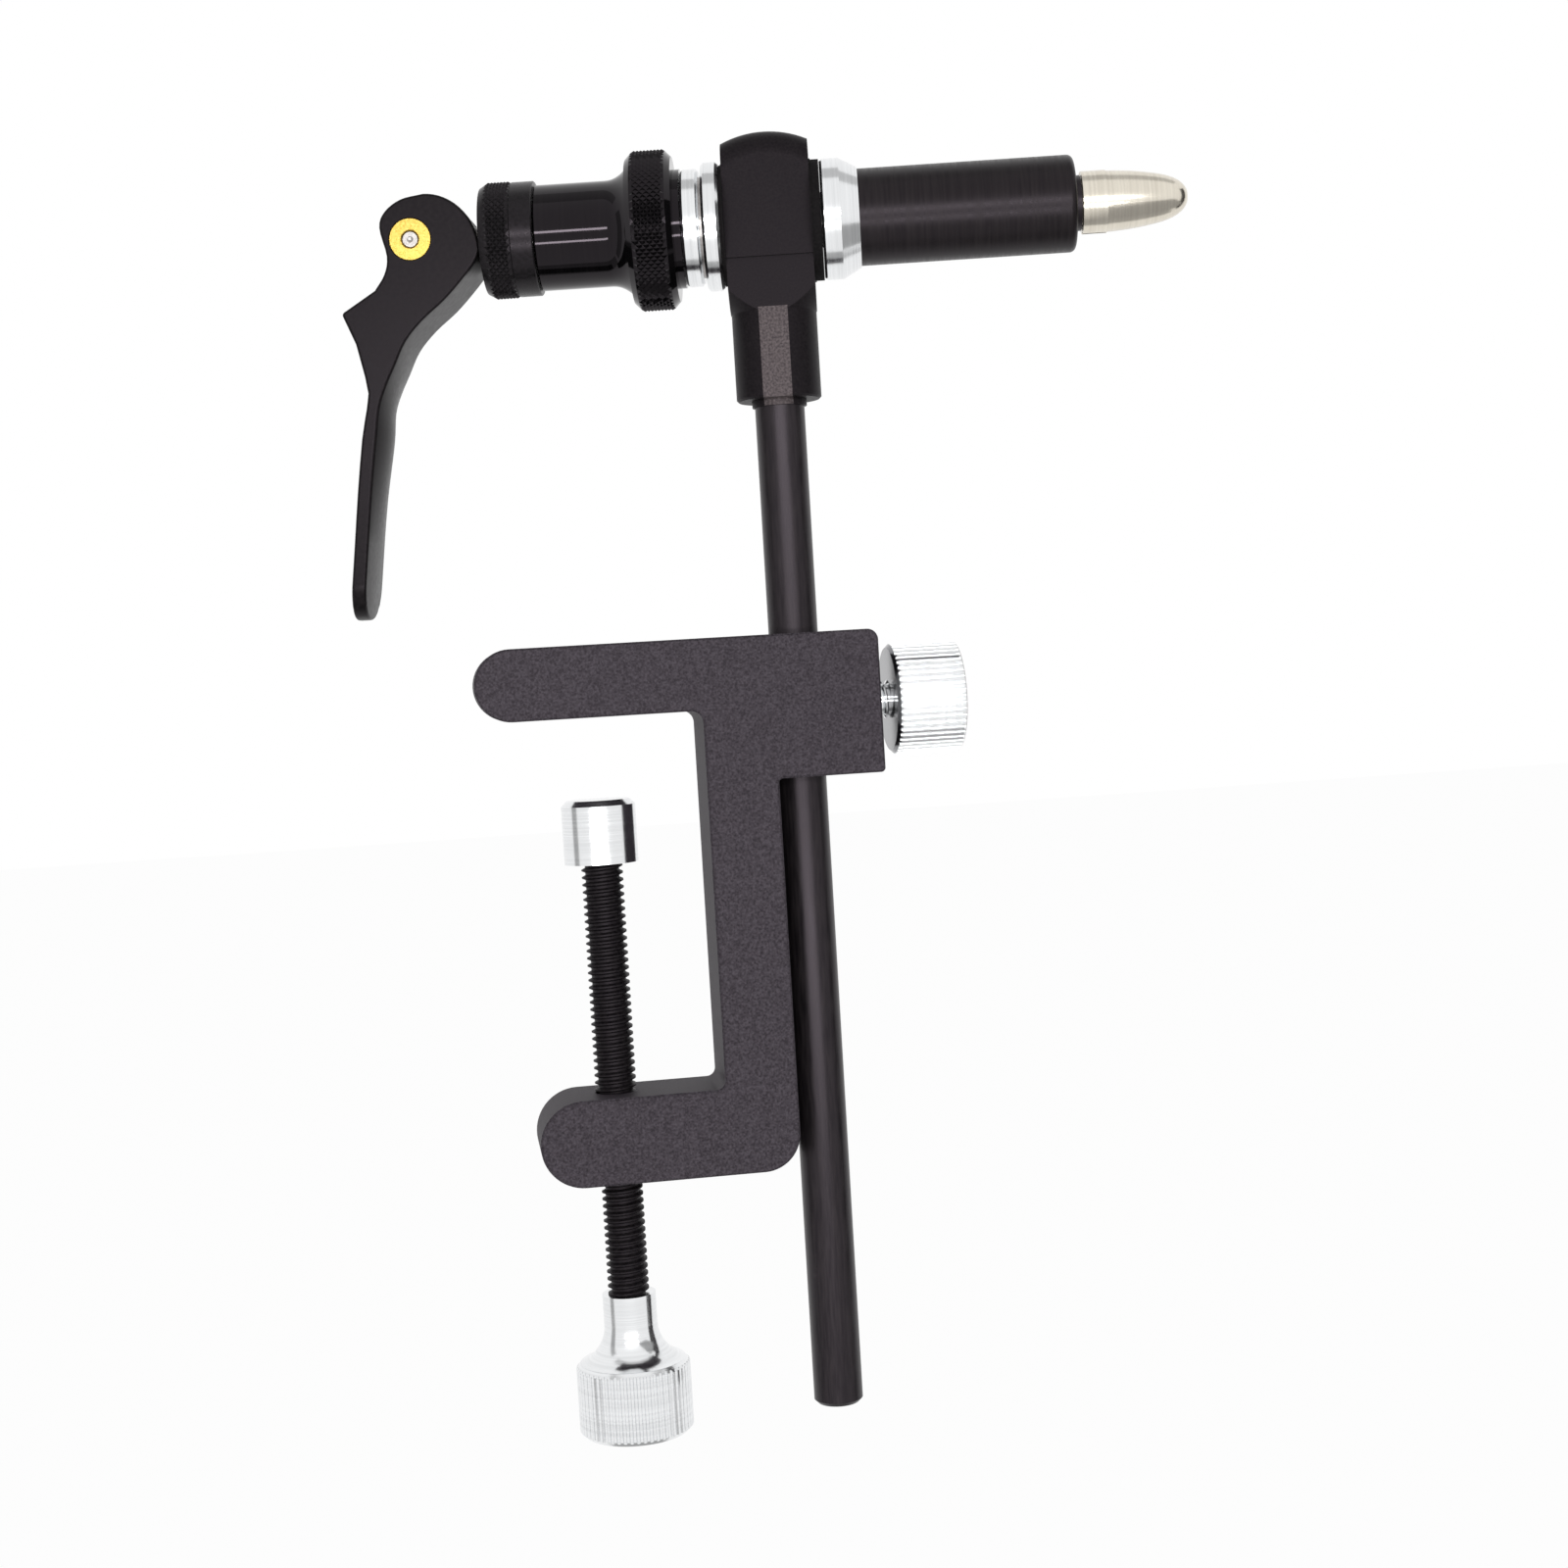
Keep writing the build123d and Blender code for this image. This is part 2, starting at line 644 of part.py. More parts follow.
# Tension knob: a knurled grip that sweeps down into a plain barrel, all in one piece
with BuildPart() as tension_knob:
    grip_radius = tension_grip_diameter / 2
    with BuildSketch(head_plane):
        with BuildLine():
            Polyline([
                (lip_front, spindle_bore_radius),
                (lip_front, knob_lip_diameter / 2),
                (grip_front, knob_lip_diameter / 2),
                (grip_front, grip_radius - tension_grip_chamfer),
                (grip_front - tension_grip_chamfer, grip_radius),
                (grip_back + tension_grip_chamfer, grip_radius),
                (grip_back, grip_radius - tension_grip_chamfer),
                (grip_back, barrel_flare_diameter / 2),
            ])
            TangentArc(
                (barrel_front, barrel_diameter / 2), (grip_back, barrel_flare_diameter / 2), tangent=(1, 0)
            )
            Polyline([
                (barrel_front, barrel_diameter / 2),
                (barrel_back, barrel_diameter / 2),
                (barrel_back, spindle_bore_radius),
                (lip_front, spindle_bore_radius),
            ])
        make_face()
    revolve(axis=head_axis)
tension_knob.part.label = "tension_knob"
export_step(swivelled(tension_knob.part), "parts/tension_knob.step")

# Adjusting ring: sets the hook size, and its back face is the one that the cam pushes on
with BuildPart() as adjust_ring:
    adjust_radius = adjust_grip_diameter / 2
    revolve(
        section(head_plane, [
            (adjust_front, spindle_bore_radius),
            (adjust_front, adjust_step_diameter / 2),
            (adjust_shoulder, adjust_step_diameter / 2),
            (adjust_shoulder, adjust_radius),
            (adjust_back + adjust_grip_chamfer, adjust_radius),
            (adjust_back, adjust_radius - adjust_grip_chamfer),
            (adjust_back, drawbar_bore_radius),
            (adjust_back + adjust_back_wall, drawbar_bore_radius),
            (adjust_back + adjust_back_wall, spindle_bore_radius),
        ]),
        axis=head_axis,
    )
adjust_ring.part.label = "adjust_ring"
export_step(swivelled(adjust_ring.part), "parts/adjust_ring.step")

# Front collar: a bright ring that tapers down to the sleeve
with BuildPart() as front_collar:
    revolve(
        section(head_plane, [
            (collar_back, spindle_bore_radius),
            (collar_back, collar_diameter / 2 - ring_edge),
            (collar_back + ring_edge, collar_diameter / 2),
            (collar_shoulder, collar_diameter / 2),
            (sleeve_back, collar_cone_diameter / 2),
            (sleeve_back, spindle_bore_radius),
        ]),
        axis=head_axis,
    )
front_collar.part.label = "front_collar"
export_step(swivelled(front_collar.part), "parts/front_collar.step")

# Front sleeve: screwed on to the spindle, it houses the jaws' shanks and the return spring
with BuildPart() as front_sleeve:
    revolve(
        section(head_plane, [
            (sleeve_back, spindle_bore_radius),
            (sleeve_back, sleeve_diameter / 2),
            (sleeve_front, sleeve_diameter / 2),
            (sleeve_front, nose_diameter / 2 + running_clearance),
            (nose_back, nose_diameter / 2 + running_clearance),
            (nose_back, sleeve_bore_diameter / 2),
            (spindle_front, sleeve_bore_diameter / 2),
            (spindle_front, spindle_bore_radius),
        ]),
        axis=head_axis,
    )
    sleeve_rims = front_sleeve.edges().filter_by(GeomType.CIRCLE).group_by(SortBy.RADIUS)[-1]
    fillet(sleeve_rims.sort_by(Axis.X)[-1], radius=sleeve_edge_radius)
front_sleeve.part.label = "front_sleeve"
export_step(swivelled(front_sleeve.part), "parts/front_sleeve.step")

# Nose ring: a hard ring whose cone squeezes the jaws together
cone_slope = tan(radians(jaw_cone_angle))
cone_radius = jaw_cone_diameter / 2
nose_mouth_radius = cone_radius - jaw_shoulder_gap * cone_slope + jaw_cone_gap
nose_cone_back = nose_front - (nose_mouth_radius - nose_bore_diameter / 2) / cone_slope
with BuildPart() as nose_ring:
    revolve(
        section(head_plane, [
            (nose_back, nose_bore_diameter / 2),
            (nose_back, nose_diameter / 2),
            (nose_front, nose_diameter / 2),
            (nose_front, nose_mouth_radius),
            (nose_cone_back, nose_bore_diameter / 2),
        ]),
        axis=head_axis,
    )
nose_ring.part.label = "nose_ring"
export_step(swivelled(nose_ring.part), "parts/nose_ring.step")

# Return spring: pushes the drawbar forward when the lever is lifted
with BuildPart() as return_spring:
    spring_inner = drawbar_radius + return_spring_bore_clearance
    spring_start = spindle_front + seat_gap / 2
    spring_end = drawbar_collar_back - seat_gap / 2
    revolve(
        ring_section(head_plane, spring_start, spring_end, spring_inner, spring_inner + return_spring_wire),
        axis=head_axis,
    )
return_spring.part.label = "return_spring"
export_step(swivelled(return_spring.part), "parts/return_spring.step")

# Drawbar: a rod with a button at the front for the jaws and a flat eye at the back for the lever's pin
with BuildPart() as drawbar:
    tongue_end = adjust_back + tongue_entry
    revolve(
        section(head_plane, [
            (pin_place, 0),
            (pin_place, drawbar_radius),
            (drawbar_collar_back, drawbar_radius),
            (drawbar_collar_back, drawbar_collar_diameter / 2),
            (drawbar_collar_front, drawbar_collar_diameter / 2),
            (drawbar_collar_front, drawbar_neck_diameter / 2),
            (drawbar_head_back, drawbar_neck_diameter / 2),
            (drawbar_head_back, drawbar_head_diameter / 2),
            (drawbar_head_front, drawbar_head_diameter / 2),
            (drawbar_head_front, 0),
        ]),
        axis=head_axis,
    )
    with BuildSketch(Plane.YZ.offset(stem_offset + pin_place - cut_overrun)):
        with Locations((tongue_thickness, head_height), (-tongue_thickness, head_height)):
            Rectangle(tongue_thickness, drawbar_diameter + cut_overrun)
    extrude(amount=tongue_end - pin_place + cut_overrun, mode=Mode.SUBTRACT)
    with BuildSketch(lever_plane):
        Circle(eye_diameter / 2)
    extrude(amount=tongue_thickness / 2, both=True)
    with BuildSketch(lever_plane):
        Circle(lever_pin_diameter / 2 + running_clearance)
    extrude(amount=tongue_thickness, both=True, mode=Mode.SUBTRACT)
drawbar.part.label = "drawbar"
export_step(swivelled(drawbar.part), "parts/drawbar.step")

# Hook jaws: one turned bullet, slit along its length into a near half and a far half
head_pocket_radius = drawbar_head_diameter / 2 + jaw_pocket_clearance
neck_pocket_radius = drawbar_neck_diameter / 2 + jaw_pocket_clearance
shank_radius = jaw_shank_diameter / 2
cone_back = jaw_shoulder - (cone_radius - shank_radius) / cone_slope
tail_front = drawbar_head_front + jaw_shoulder_gap + jaw_tail_front
nose_radius = jaw_diameter / 2 - jaw_step
nose_points = [
    (jaw_land_front + jaw_nose_length * place, nose_radius * height)
    for place, height in jaw_nose_shares
]
with BuildPart() as jaw_blank:
    with BuildSketch(head_plane):
        with BuildLine():
            Polyline([
                (jaw_tip, 0),
                (jaw_back, 0),
                (jaw_back, jaw_tail_diameter / 2),
                (tail_front, jaw_tail_diameter / 2),
                (tail_front, shank_radius),
                (cone_back, shank_radius),
                (jaw_shoulder, cone_radius),
                (jaw_shoulder, jaw_diameter / 2),
                (jaw_land_front, jaw_diameter / 2),
                (jaw_land_front, nose_radius),
            ])
            Spline([(jaw_land_front, nose_radius)] + nose_points + [(jaw_tip, jaw_tip_diameter / 2)])
            Line((jaw_tip, jaw_tip_diameter / 2), (jaw_tip, 0))
        make_face()
    revolve(axis=head_axis)
    revolve(
        section(head_plane, [
            (jaw_back - cut_overrun, 0),
            (jaw_back - cut_overrun, neck_pocket_radius),
            (drawbar_head_back - jaw_shoulder_gap, neck_pocket_radius),
            (drawbar_head_back - jaw_shoulder_gap, head_pocket_radius),
            (drawbar_head_front + jaw_shoulder_gap, head_pocket_radius),
            (drawbar_head_front + jaw_shoulder_gap, 0),
        ]),
        axis=head_axis,
        mode=Mode.SUBTRACT,
    )
    with BuildSketch(head_plane):
        with Locations((jaw_pivot + jaw_spring_place, 0)):
            Circle(jaw_spring_diameter / 2 + jaw_spring_clearance)
    extrude(amount=jaw_spring_length / 2 + seat_gap, both=True, mode=Mode.SUBTRACT)
    with BuildSketch(Plane.XY.offset(head_height - jaw_diameter)):
        with Locations((stem_offset + jaw_back - cut_overrun, 0)):
            Rectangle(jaw_land_front - jaw_back + cut_overrun, jaw_slit, align=(Align.MIN, Align.CENTER))
        with Locations((stem_offset + jaw_land_front, 0)):
            Rectangle(jaw_nose_length + cut_overrun, jaw_bite, align=(Align.MIN, Align.CENTER))
    extrude(amount=2 * jaw_diameter, mode=Mode.SUBTRACT)

with BuildPart() as jaw_near:
    add(jaw_blank.part.solids().sort_by(Axis.Y)[0])
jaw_near.part.label = "jaw_near"
export_step(swivelled(jaw_near.part), "parts/jaw_near.step")

with BuildPart() as jaw_far:
    add(jaw_blank.part.solids().sort_by(Axis.Y)[-1])
jaw_far.part.label = "jaw_far"
export_step(swivelled(jaw_far.part), "parts/jaw_far.step")

# Jaw spring: a short coil across the slit that opens the jaws
with BuildPart() as jaw_spring:
    with BuildSketch(head_plane):
        with Locations((jaw_pivot + jaw_spring_place, 0)):
            Circle(jaw_spring_diameter / 2)
            Circle(jaw_spring_diameter / 2 - jaw_spring_wire, mode=Mode.SUBTRACT)
    extrude(amount=jaw_spring_length / 2, both=True)
jaw_spring.part.label = "jaw_spring"
export_step(swivelled(jaw_spring.part), "parts/jaw_spring.step")

# Cam lever: a paddle below, and above it a fork whose two cheeks are the cam
cheek_half = lever_width / 2
with BuildPart() as cam_lever:
    for lower in range(len(paddle_height_shares)):
        with BuildSketch(Plane.XY.offset(head_height + paddle_height_shares[lower] * lever_length)):
            back = stem_offset + pin_place + paddle_back_shares[lower] * lever_length
            edge = stem_offset + pin_place + paddle_edge_shares[lower] * lever_length
            crest = edge + paddle_crest_shares[lower] * lever_length
            with BuildLine():
                Polyline([(edge, cheek_half), (back, cheek_half), (back, -cheek_half), (edge, -cheek_half)])
                ThreePointArc((edge, -cheek_half), (crest, 0), (edge, cheek_half))
            make_face()
    loft()
    with BuildSketch(Plane.YZ.offset(stem_offset + pin_place - lever_length)):
        with Locations((0, head_height)):
            RectangleRounded(lever_width, 2 * lever_length, lever_tip_radius)
    extrude(amount=2 * lever_length, mode=Mode.INTERSECT)
    with BuildSketch(lever_plane):
        quarter_turn = pi / 2
        cam_points = [cam_point(quarter_turn * step / cam_steps) for step in range(cam_steps + 1)]
        cheek_points = [lever_point(share) for share in back_of_cheek_shares]
        front_points = [lever_point(share) for share in front_of_lever_shares]
        under_points = [lever_point(share) for share in under_heel_shares]
        heel = lever_point(heel_share)
        towards_heel = Vector(*heel) - Vector(*cheek_points[-1])
        up_the_front = Vector(*front_points[1]) - Vector(*front_points[0])
        with BuildLine():
            Spline(cam_points, tangents=[(0, 1), (-1, 0)])
            Spline([cam_points[-1]] + cheek_points, tangents=[(-1, 0), towards_heel])
            Polyline([cheek_points[-1], heel] + under_points + [front_points[0]])
            Spline(front_points + [cam_points[0]], tangents=[up_the_front, (0, 1)])
        make_face()
    extrude(amount=cheek_half, both=True)
    with BuildSketch(lever_plane):
        with Locations((0, -lever_slot_drop)):
            Rectangle(2 * lever_length, lever_length, align=(Align.CENTER, Align.MIN))
    extrude(amount=slot_half_width, both=True, mode=Mode.SUBTRACT)
    with BuildSketch(lever_plane):
        Circle(bush_body_diameter / 2 + running_clearance)
    extrude(amount=lever_width, both=True, mode=Mode.SUBTRACT)
    for side in (1, -1):
        cheek_centre = (stem_offset + pin_place, side * cheek_half, head_height)
        with BuildSketch(Plane(origin=cheek_centre, z_dir=(0, side, 0))):
            Circle(bush_flange_diameter / 2 + running_clearance)
        extrude(amount=-bush_flange_length - running_clearance, mode=Mode.SUBTRACT)
cam_lever.part.label = "cam_lever"
export_step(swivelled(cam_lever.part), "parts/cam_lever.step")

# Lever bushes: flanged brass bearings, one in each cheek
bush_inner_end = slot_half_width + bush_end_gap
lever_bush_outline = [
    (lever_pin_diameter / 2 + running_clearance, bush_inner_end),
    (bush_body_diameter / 2, bush_inner_end),
    (bush_body_diameter / 2, cheek_half - bush_flange_length),
    (bush_flange_diameter / 2, cheek_half - bush_flange_length),
    (bush_flange_diameter / 2, cheek_half),
    (lever_pin_diameter / 2 + running_clearance, cheek_half),
]
pin_axis = Axis((stem_offset + pin_place, 0, head_height), (0, 1, 0))
pin_section_plane = Plane(origin=(stem_offset + pin_place, 0, head_height), x_dir=(1, 0, 0), z_dir=(0, 0, 1))
with BuildPart() as lever_bush_far:
    revolve(section(pin_section_plane, lever_bush_outline), axis=pin_axis)
lever_bush_far.part.label = "lever_bush_far"
export_step(swivelled(lever_bush_far.part), "parts/lever_bush_far.step")

with BuildPart() as lever_bush_near:
    near_outline = [(radius, -place) for radius, place in lever_bush_outline]
    revolve(section(pin_section_plane, near_outline), axis=pin_axis)
lever_bush_near.part.label = "lever_bush_near"
export_step(swivelled(lever_bush_near.part), "parts/lever_bush_near.step")

# Lever pin: fixed in the drawbar's eye, it turns in the brass bushes
with BuildPart() as lever_pin:
    with BuildSketch(lever_plane):
        Circle(lever_pin_diameter / 2)
    extrude(amount=cheek_half - lever_pin_inset, both=True)
lever_pin.part.label = "lever_pin"
export_step(swivelled(lever_pin.part), "parts/lever_pin.step")
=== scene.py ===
from math import cos, hypot, pi, radians, sin, tau

import bmesh
import bpy
from mathutils import Matrix, Vector


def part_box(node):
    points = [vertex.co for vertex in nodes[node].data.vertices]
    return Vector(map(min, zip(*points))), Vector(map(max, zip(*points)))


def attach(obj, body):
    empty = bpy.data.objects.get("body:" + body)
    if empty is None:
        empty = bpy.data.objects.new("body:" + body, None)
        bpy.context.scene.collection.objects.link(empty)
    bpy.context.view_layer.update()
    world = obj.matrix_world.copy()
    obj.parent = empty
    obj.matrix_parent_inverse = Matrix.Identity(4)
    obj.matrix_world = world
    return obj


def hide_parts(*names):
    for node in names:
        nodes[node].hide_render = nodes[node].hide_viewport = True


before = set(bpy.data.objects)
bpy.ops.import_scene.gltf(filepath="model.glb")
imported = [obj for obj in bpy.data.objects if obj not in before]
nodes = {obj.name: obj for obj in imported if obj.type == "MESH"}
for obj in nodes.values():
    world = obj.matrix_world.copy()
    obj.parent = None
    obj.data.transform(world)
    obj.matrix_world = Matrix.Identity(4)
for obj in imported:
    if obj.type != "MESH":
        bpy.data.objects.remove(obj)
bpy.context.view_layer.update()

# The studio: a white room with a pale floor well under the vise, which hangs free as it does in the
# photograph. Two long soft lamps stand above and below the lens. Five cards glow in set greys and are seen
# only in reflections, never by the lens, in light on things or in shadows: painted reflections on the metal.
scene = bpy.context.scene
scene.view_settings.view_transform = "Standard"
image_width = 1600
focal_pixels = 2450.0
film_width = 36.0
camera_turn = radians(8.2)
camera_tip = radians(2.6)
camera_roll = radians(3.43)
camera_distance = 0.464
stem_foot = Vector((0.0396625, 0, 0))
stem_right_of_centre = 0.002595
stem_above_centre = 0.0154

level_ahead = Vector((sin(camera_turn), cos(camera_turn), 0))
level_right = Vector((cos(camera_turn), -sin(camera_turn), 0))
straight_up = Vector((0, 0, 1))
ahead = level_ahead * cos(camera_tip) - straight_up * sin(camera_tip)
tipped_up = straight_up * cos(camera_tip) + level_ahead * sin(camera_tip)
right = level_right * cos(camera_roll) - tipped_up * sin(camera_roll)
up = level_right * sin(camera_roll) + tipped_up * cos(camera_roll)
lens_place = stem_foot - ahead * camera_distance - right * stem_right_of_centre - up * stem_above_centre
camera_data = bpy.data.cameras.new("camera")
camera_data.sensor_width = film_width
camera_data.lens = focal_pixels / image_width * film_width
camera = bpy.data.objects.new("camera", camera_data)
scene.collection.objects.link(camera)
camera.matrix_world = Matrix.Translation(lens_place) @ Matrix((right, up, -ahead)).transposed().to_4x4()
scene.camera = camera


def white_to_the_eye(tree):
    """A value of 1 for what the lens, a reflection or clear glass sees, and 0 for light on things."""
    path = tree.nodes.new("ShaderNodeLightPath")
    seen = path.outputs["Is Camera Ray"]
    for ray in ("Is Glossy Ray", "Is Transmission Ray"):
        either = tree.nodes.new("ShaderNodeMath")
        either.operation = "MAXIMUM"
        tree.links.new(seen, either.inputs[0])
        tree.links.new(path.outputs[ray], either.inputs[1])
        seen = either.outputs[0]
    return seen


room_strength = 0.36
room = bpy.data.worlds.new("white_room")
room.use_nodes = True
scene.world = room
room_light = room.node_tree.nodes["Background"]
room_light.inputs["Color"].default_value = (1, 1, 1, 1)
room_light.inputs["Strength"].default_value = room_strength
room_white = room.node_tree.nodes.new("ShaderNodeBackground")
room_white.inputs["Color"].default_value = (1, 1, 1, 1)
room_white.inputs["Strength"].default_value = 1
room_mix = room.node_tree.nodes.new("ShaderNodeMixShader")
room.node_tree.links.new(white_to_the_eye(room.node_tree), room_mix.inputs["Fac"])
room.node_tree.links.new(room_light.outputs[0], room_mix.inputs[1])
room.node_tree.links.new(room_white.outputs[0], room_mix.inputs[2])
room.node_tree.links.new(room_mix.outputs[0], room.node_tree.nodes["World Output"].inputs["Surface"])

floor_height = -0.26
floor_width = 8.0
floor_grey = (0.86, 0.86, 0.86)
floor_roughness = 0.9
floor_glow_share = 0.97
bpy.ops.object.select_all(action="DESELECT")
bpy.ops.mesh.primitive_plane_add(size=floor_width, location=(0, 0, floor_height))
floor = bpy.context.object
floor.name = "floor"
bpy.ops.object.transform_apply(location=True)
pale = bpy.data.materials.new("pale_floor")
pale.use_nodes = True
pale_shader = pale.node_tree.nodes["Principled BSDF"]
pale_shader.inputs["Base Color"].default_value = (*floor_grey, 1)
pale_shader.inputs["Roughness"].default_value = floor_roughness
pale_glow = pale.node_tree.nodes.new("ShaderNodeEmission")
pale_glow.inputs["Color"].default_value = (1, 1, 1, 1)
pale_share = pale.node_tree.nodes.new("ShaderNodeMath")
pale_share.operation = "MULTIPLY"
pale_share.inputs[1].default_value = floor_glow_share
pale_mix = pale.node_tree.nodes.new("ShaderNodeMixShader")
pale.node_tree.links.new(white_to_the_eye(pale.node_tree), pale_share.inputs[0])
pale.node_tree.links.new(pale_share.outputs[0], pale_mix.inputs["Fac"])
pale.node_tree.links.new(pale_shader.outputs[0], pale_mix.inputs[1])
pale.node_tree.links.new(pale_glow.outputs[0], pale_mix.inputs[2])
pale.node_tree.links.new(pale_mix.outputs[0], pale.node_tree.nodes["Material Output"].inputs["Surface"])
floor.data.materials.append(pale)

lamp_length = 0.42
lamp_height = 0.036
lamp_watts = 0.8
lamp_gap = 0.1
for side in (1, -1):
    lamp_data = bpy.data.lights.new("soft_lamp", "AREA")
    lamp_data.shape = "RECTANGLE"
    lamp_data.size = lamp_length
    lamp_data.size_y = lamp_height
    lamp_data.energy = lamp_watts
    lamp = bpy.data.objects.new("soft_lamp", lamp_data)
    scene.collection.objects.link(lamp)
    lamp.location = lens_place + up * lamp_gap * side
    lamp.rotation_euler = camera.rotation_euler

# Each card glows its own grey and shows only in reflections: a painted reflection, not a lamp.
for name, grey, size, place, turn in (
    ("card_above", 0.58, (0.7, 0.16), (0.03, -0.02, 0.42), (0, 0, 0)),
    ("card_below", 0.42, (0.7, 0.16), (0.03, -0.02, -0.25), (0, 0, 0)),
    ("card_left", 0.42, (0.6, 0.14), (-0.42, -0.04, 0), (0, pi / 2, 0)),
    ("card_right", 0.06, (0.6, 0.18), (0.48, -0.05, 0), (0, pi / 2, 0)),
    ("card_jaws", 0.38, (0.24, 0.22), (0.22, -0.14, 0), (0, 0, 0)),
):
    bpy.ops.object.select_all(action="DESELECT")
    bpy.ops.mesh.primitive_plane_add(size=1, location=place, rotation=turn)
    card = bpy.context.object
    card.name = name
    card.scale = (*size, 1)
    bpy.ops.object.transform_apply(location=True, rotation=True, scale=True)
    card_glow = bpy.data.materials.new(name)
    card_glow.use_nodes = True
    card_glow_shader = card_glow.node_tree.nodes["Principled BSDF"]
    card_glow_shader.inputs["Base Color"].default_value = (0, 0, 0, 1)
    card_glow_shader.inputs["Specular IOR Level"].default_value = 0
    card_glow_shader.inputs["Emission Color"].default_value = (grey, grey, grey, 1)
    card_glow_shader.inputs["Emission Strength"].default_value = 1
    card.data.materials.append(card_glow)
    card.visible_camera = False
    card.visible_diffuse = False
    card.visible_shadow = False


# The clamp body: a C milled from one thick aluminium bar, bead blasted and anodised black, so that
# its faces glitter with a fine grain. The cutter's passes still show faintly on the lower arm.
warm_black_mirror = (0.97, 0.84, 0.95)
plain_mirror = (1, 1, 1)
grain_detail = 4
grain_colour_stops = (0.32, 0.72)
grain_sheen_stops = (0.3, 0.7)
wave_length_at_scale_one = tau / 20
line_wander = 1.5
line_detail = 2


def finish(
    name, dark, light, grain, depth, metallic, rough, specular=0.5, about=(0, 0, 0), turn=0, lines=None
):
    """A real finish: grain between two colours, its depth and sheen, and the fine lines that a tool leaves.

    The grain has its own size along each axis of the piece, and lines gives an axis, a spacing and a depth.
    """
    material = bpy.data.materials.new(name)
    material.use_nodes = True
    tree = material.node_tree
    shader = tree.nodes["Principled BSDF"]
    shader.inputs["Metallic"].default_value = metallic
    shader.inputs["Specular IOR Level"].default_value = specular
    mirror = plain_mirror if metallic else warm_black_mirror
    shader.inputs["Specular Tint"].default_value = (*mirror, 1)
    coordinates = tree.nodes.new("ShaderNodeTexCoord")
    own_axes = tree.nodes.new("ShaderNodeMapping")
    own_axes.vector_type = "TEXTURE"
    own_axes.inputs["Location"].default_value = about
    own_axes.inputs["Rotation"].default_value = (0, 0, turn)
    own_axes.inputs["Scale"].default_value = grain
    noise = tree.nodes.new("ShaderNodeTexNoise")
    noise.inputs["Scale"].default_value = 1
    noise.inputs["Detail"].default_value = grain_detail
    colour = tree.nodes.new("ShaderNodeValToRGB")
    for stop, position, shade in zip(colour.color_ramp.elements, grain_colour_stops, (dark, light)):
        stop.position = position
        stop.color = (*shade, 1)
    sheen = tree.nodes.new("ShaderNodeMapRange")
    for end, stop, roughness in zip(("Min", "Max"), grain_sheen_stops, rough):
        sheen.inputs["From " + end].default_value = stop
        sheen.inputs["To " + end].default_value = roughness
    bump = tree.nodes.new("ShaderNodeBump")
    bump.inputs["Distance"].default_value = depth
    tree.links.new(coordinates.outputs["Object"], own_axes.inputs["Vector"])
    tree.links.new(own_axes.outputs["Vector"], noise.inputs["Vector"])
    tree.links.new(noise.outputs["Fac"], colour.inputs["Fac"])
    tree.links.new(noise.outputs["Fac"], sheen.inputs["Value"])
    tree.links.new(noise.outputs["Fac"], bump.inputs["Height"])
    tree.links.new(colour.outputs["Color"], shader.inputs["Base Color"])
    tree.links.new(sheen.outputs["Result"], shader.inputs["Roughness"])
    surface = bump
    if lines:
        direction, spacing, line_depth = lines
        line_axes = tree.nodes.new("ShaderNodeMapping")
        line_axes.vector_type = "TEXTURE"
        line_axes.inputs["Location"].default_value = about
        line_axes.inputs["Rotation"].default_value = (0, 0, turn)
        wave = tree.nodes.new("ShaderNodeTexWave")
        wave.bands_direction = direction
        wave.inputs["Scale"].default_value = wave_length_at_scale_one / spacing
        wave.inputs["Distortion"].default_value = line_wander
        wave.inputs["Detail"].default_value = line_detail
        surface = tree.nodes.new("ShaderNodeBump")
        surface.inputs["Distance"].default_value = line_depth
        tree.links.new(coordinates.outputs["Object"], line_axes.inputs["Vector"])
        tree.links.new(line_axes.outputs["Vector"], wave.inputs["Vector"])
        tree.links.new(wave.outputs["Fac"], surface.inputs["Height"])
        tree.links.new(bump.outputs["Normal"], surface.inputs["Normal"])
    tree.links.new(surface.outputs["Normal"], shader.inputs["Normal"])
    return material


def dress(material, *names):
    """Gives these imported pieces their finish."""
    for name in names:
        nodes[name].data.materials.clear()
        nodes[name].data.materials.append(material)


blasted_black = finish(
    "clamp_black",
    dark=(0.019, 0.0160, 0.0195), light=(0.084, 0.073, 0.086),
    grain=(0.00040, 0.00040, 0.00040), depth=0.00008,
    metallic=0.0, rough=(0.5, 0.66), specular=0.16,
    lines=("X", 0.0032, 0.000012),
)
dress(blasted_black, "clamp_body")


# The clamp screw: a 5/16 inch black oxide screw, its thread cut as one helix from the pad to the knob.
# A plain spigot at each end goes into the pad and into the knob.
screw_pitch = 0.001411
thread_depth = 0.0007
thread_crest_share = 0.2
thread_root_share = 0.3
screw_radius = 0.00397
screw_top = -0.0280
screw_bottom = -0.11115
spigot_radius = 0.00265
pad_spigot_length = 0.0079
knob_spigot_length = 0.0188
thread_steps = 40
thread_spare_turns = 3
thread_smoothing = radians(25)
round_smoothing = radians(32)
thread_face_corners = 8
seed_size = 0.001
weld = 0.000002
same_place = 0.00001


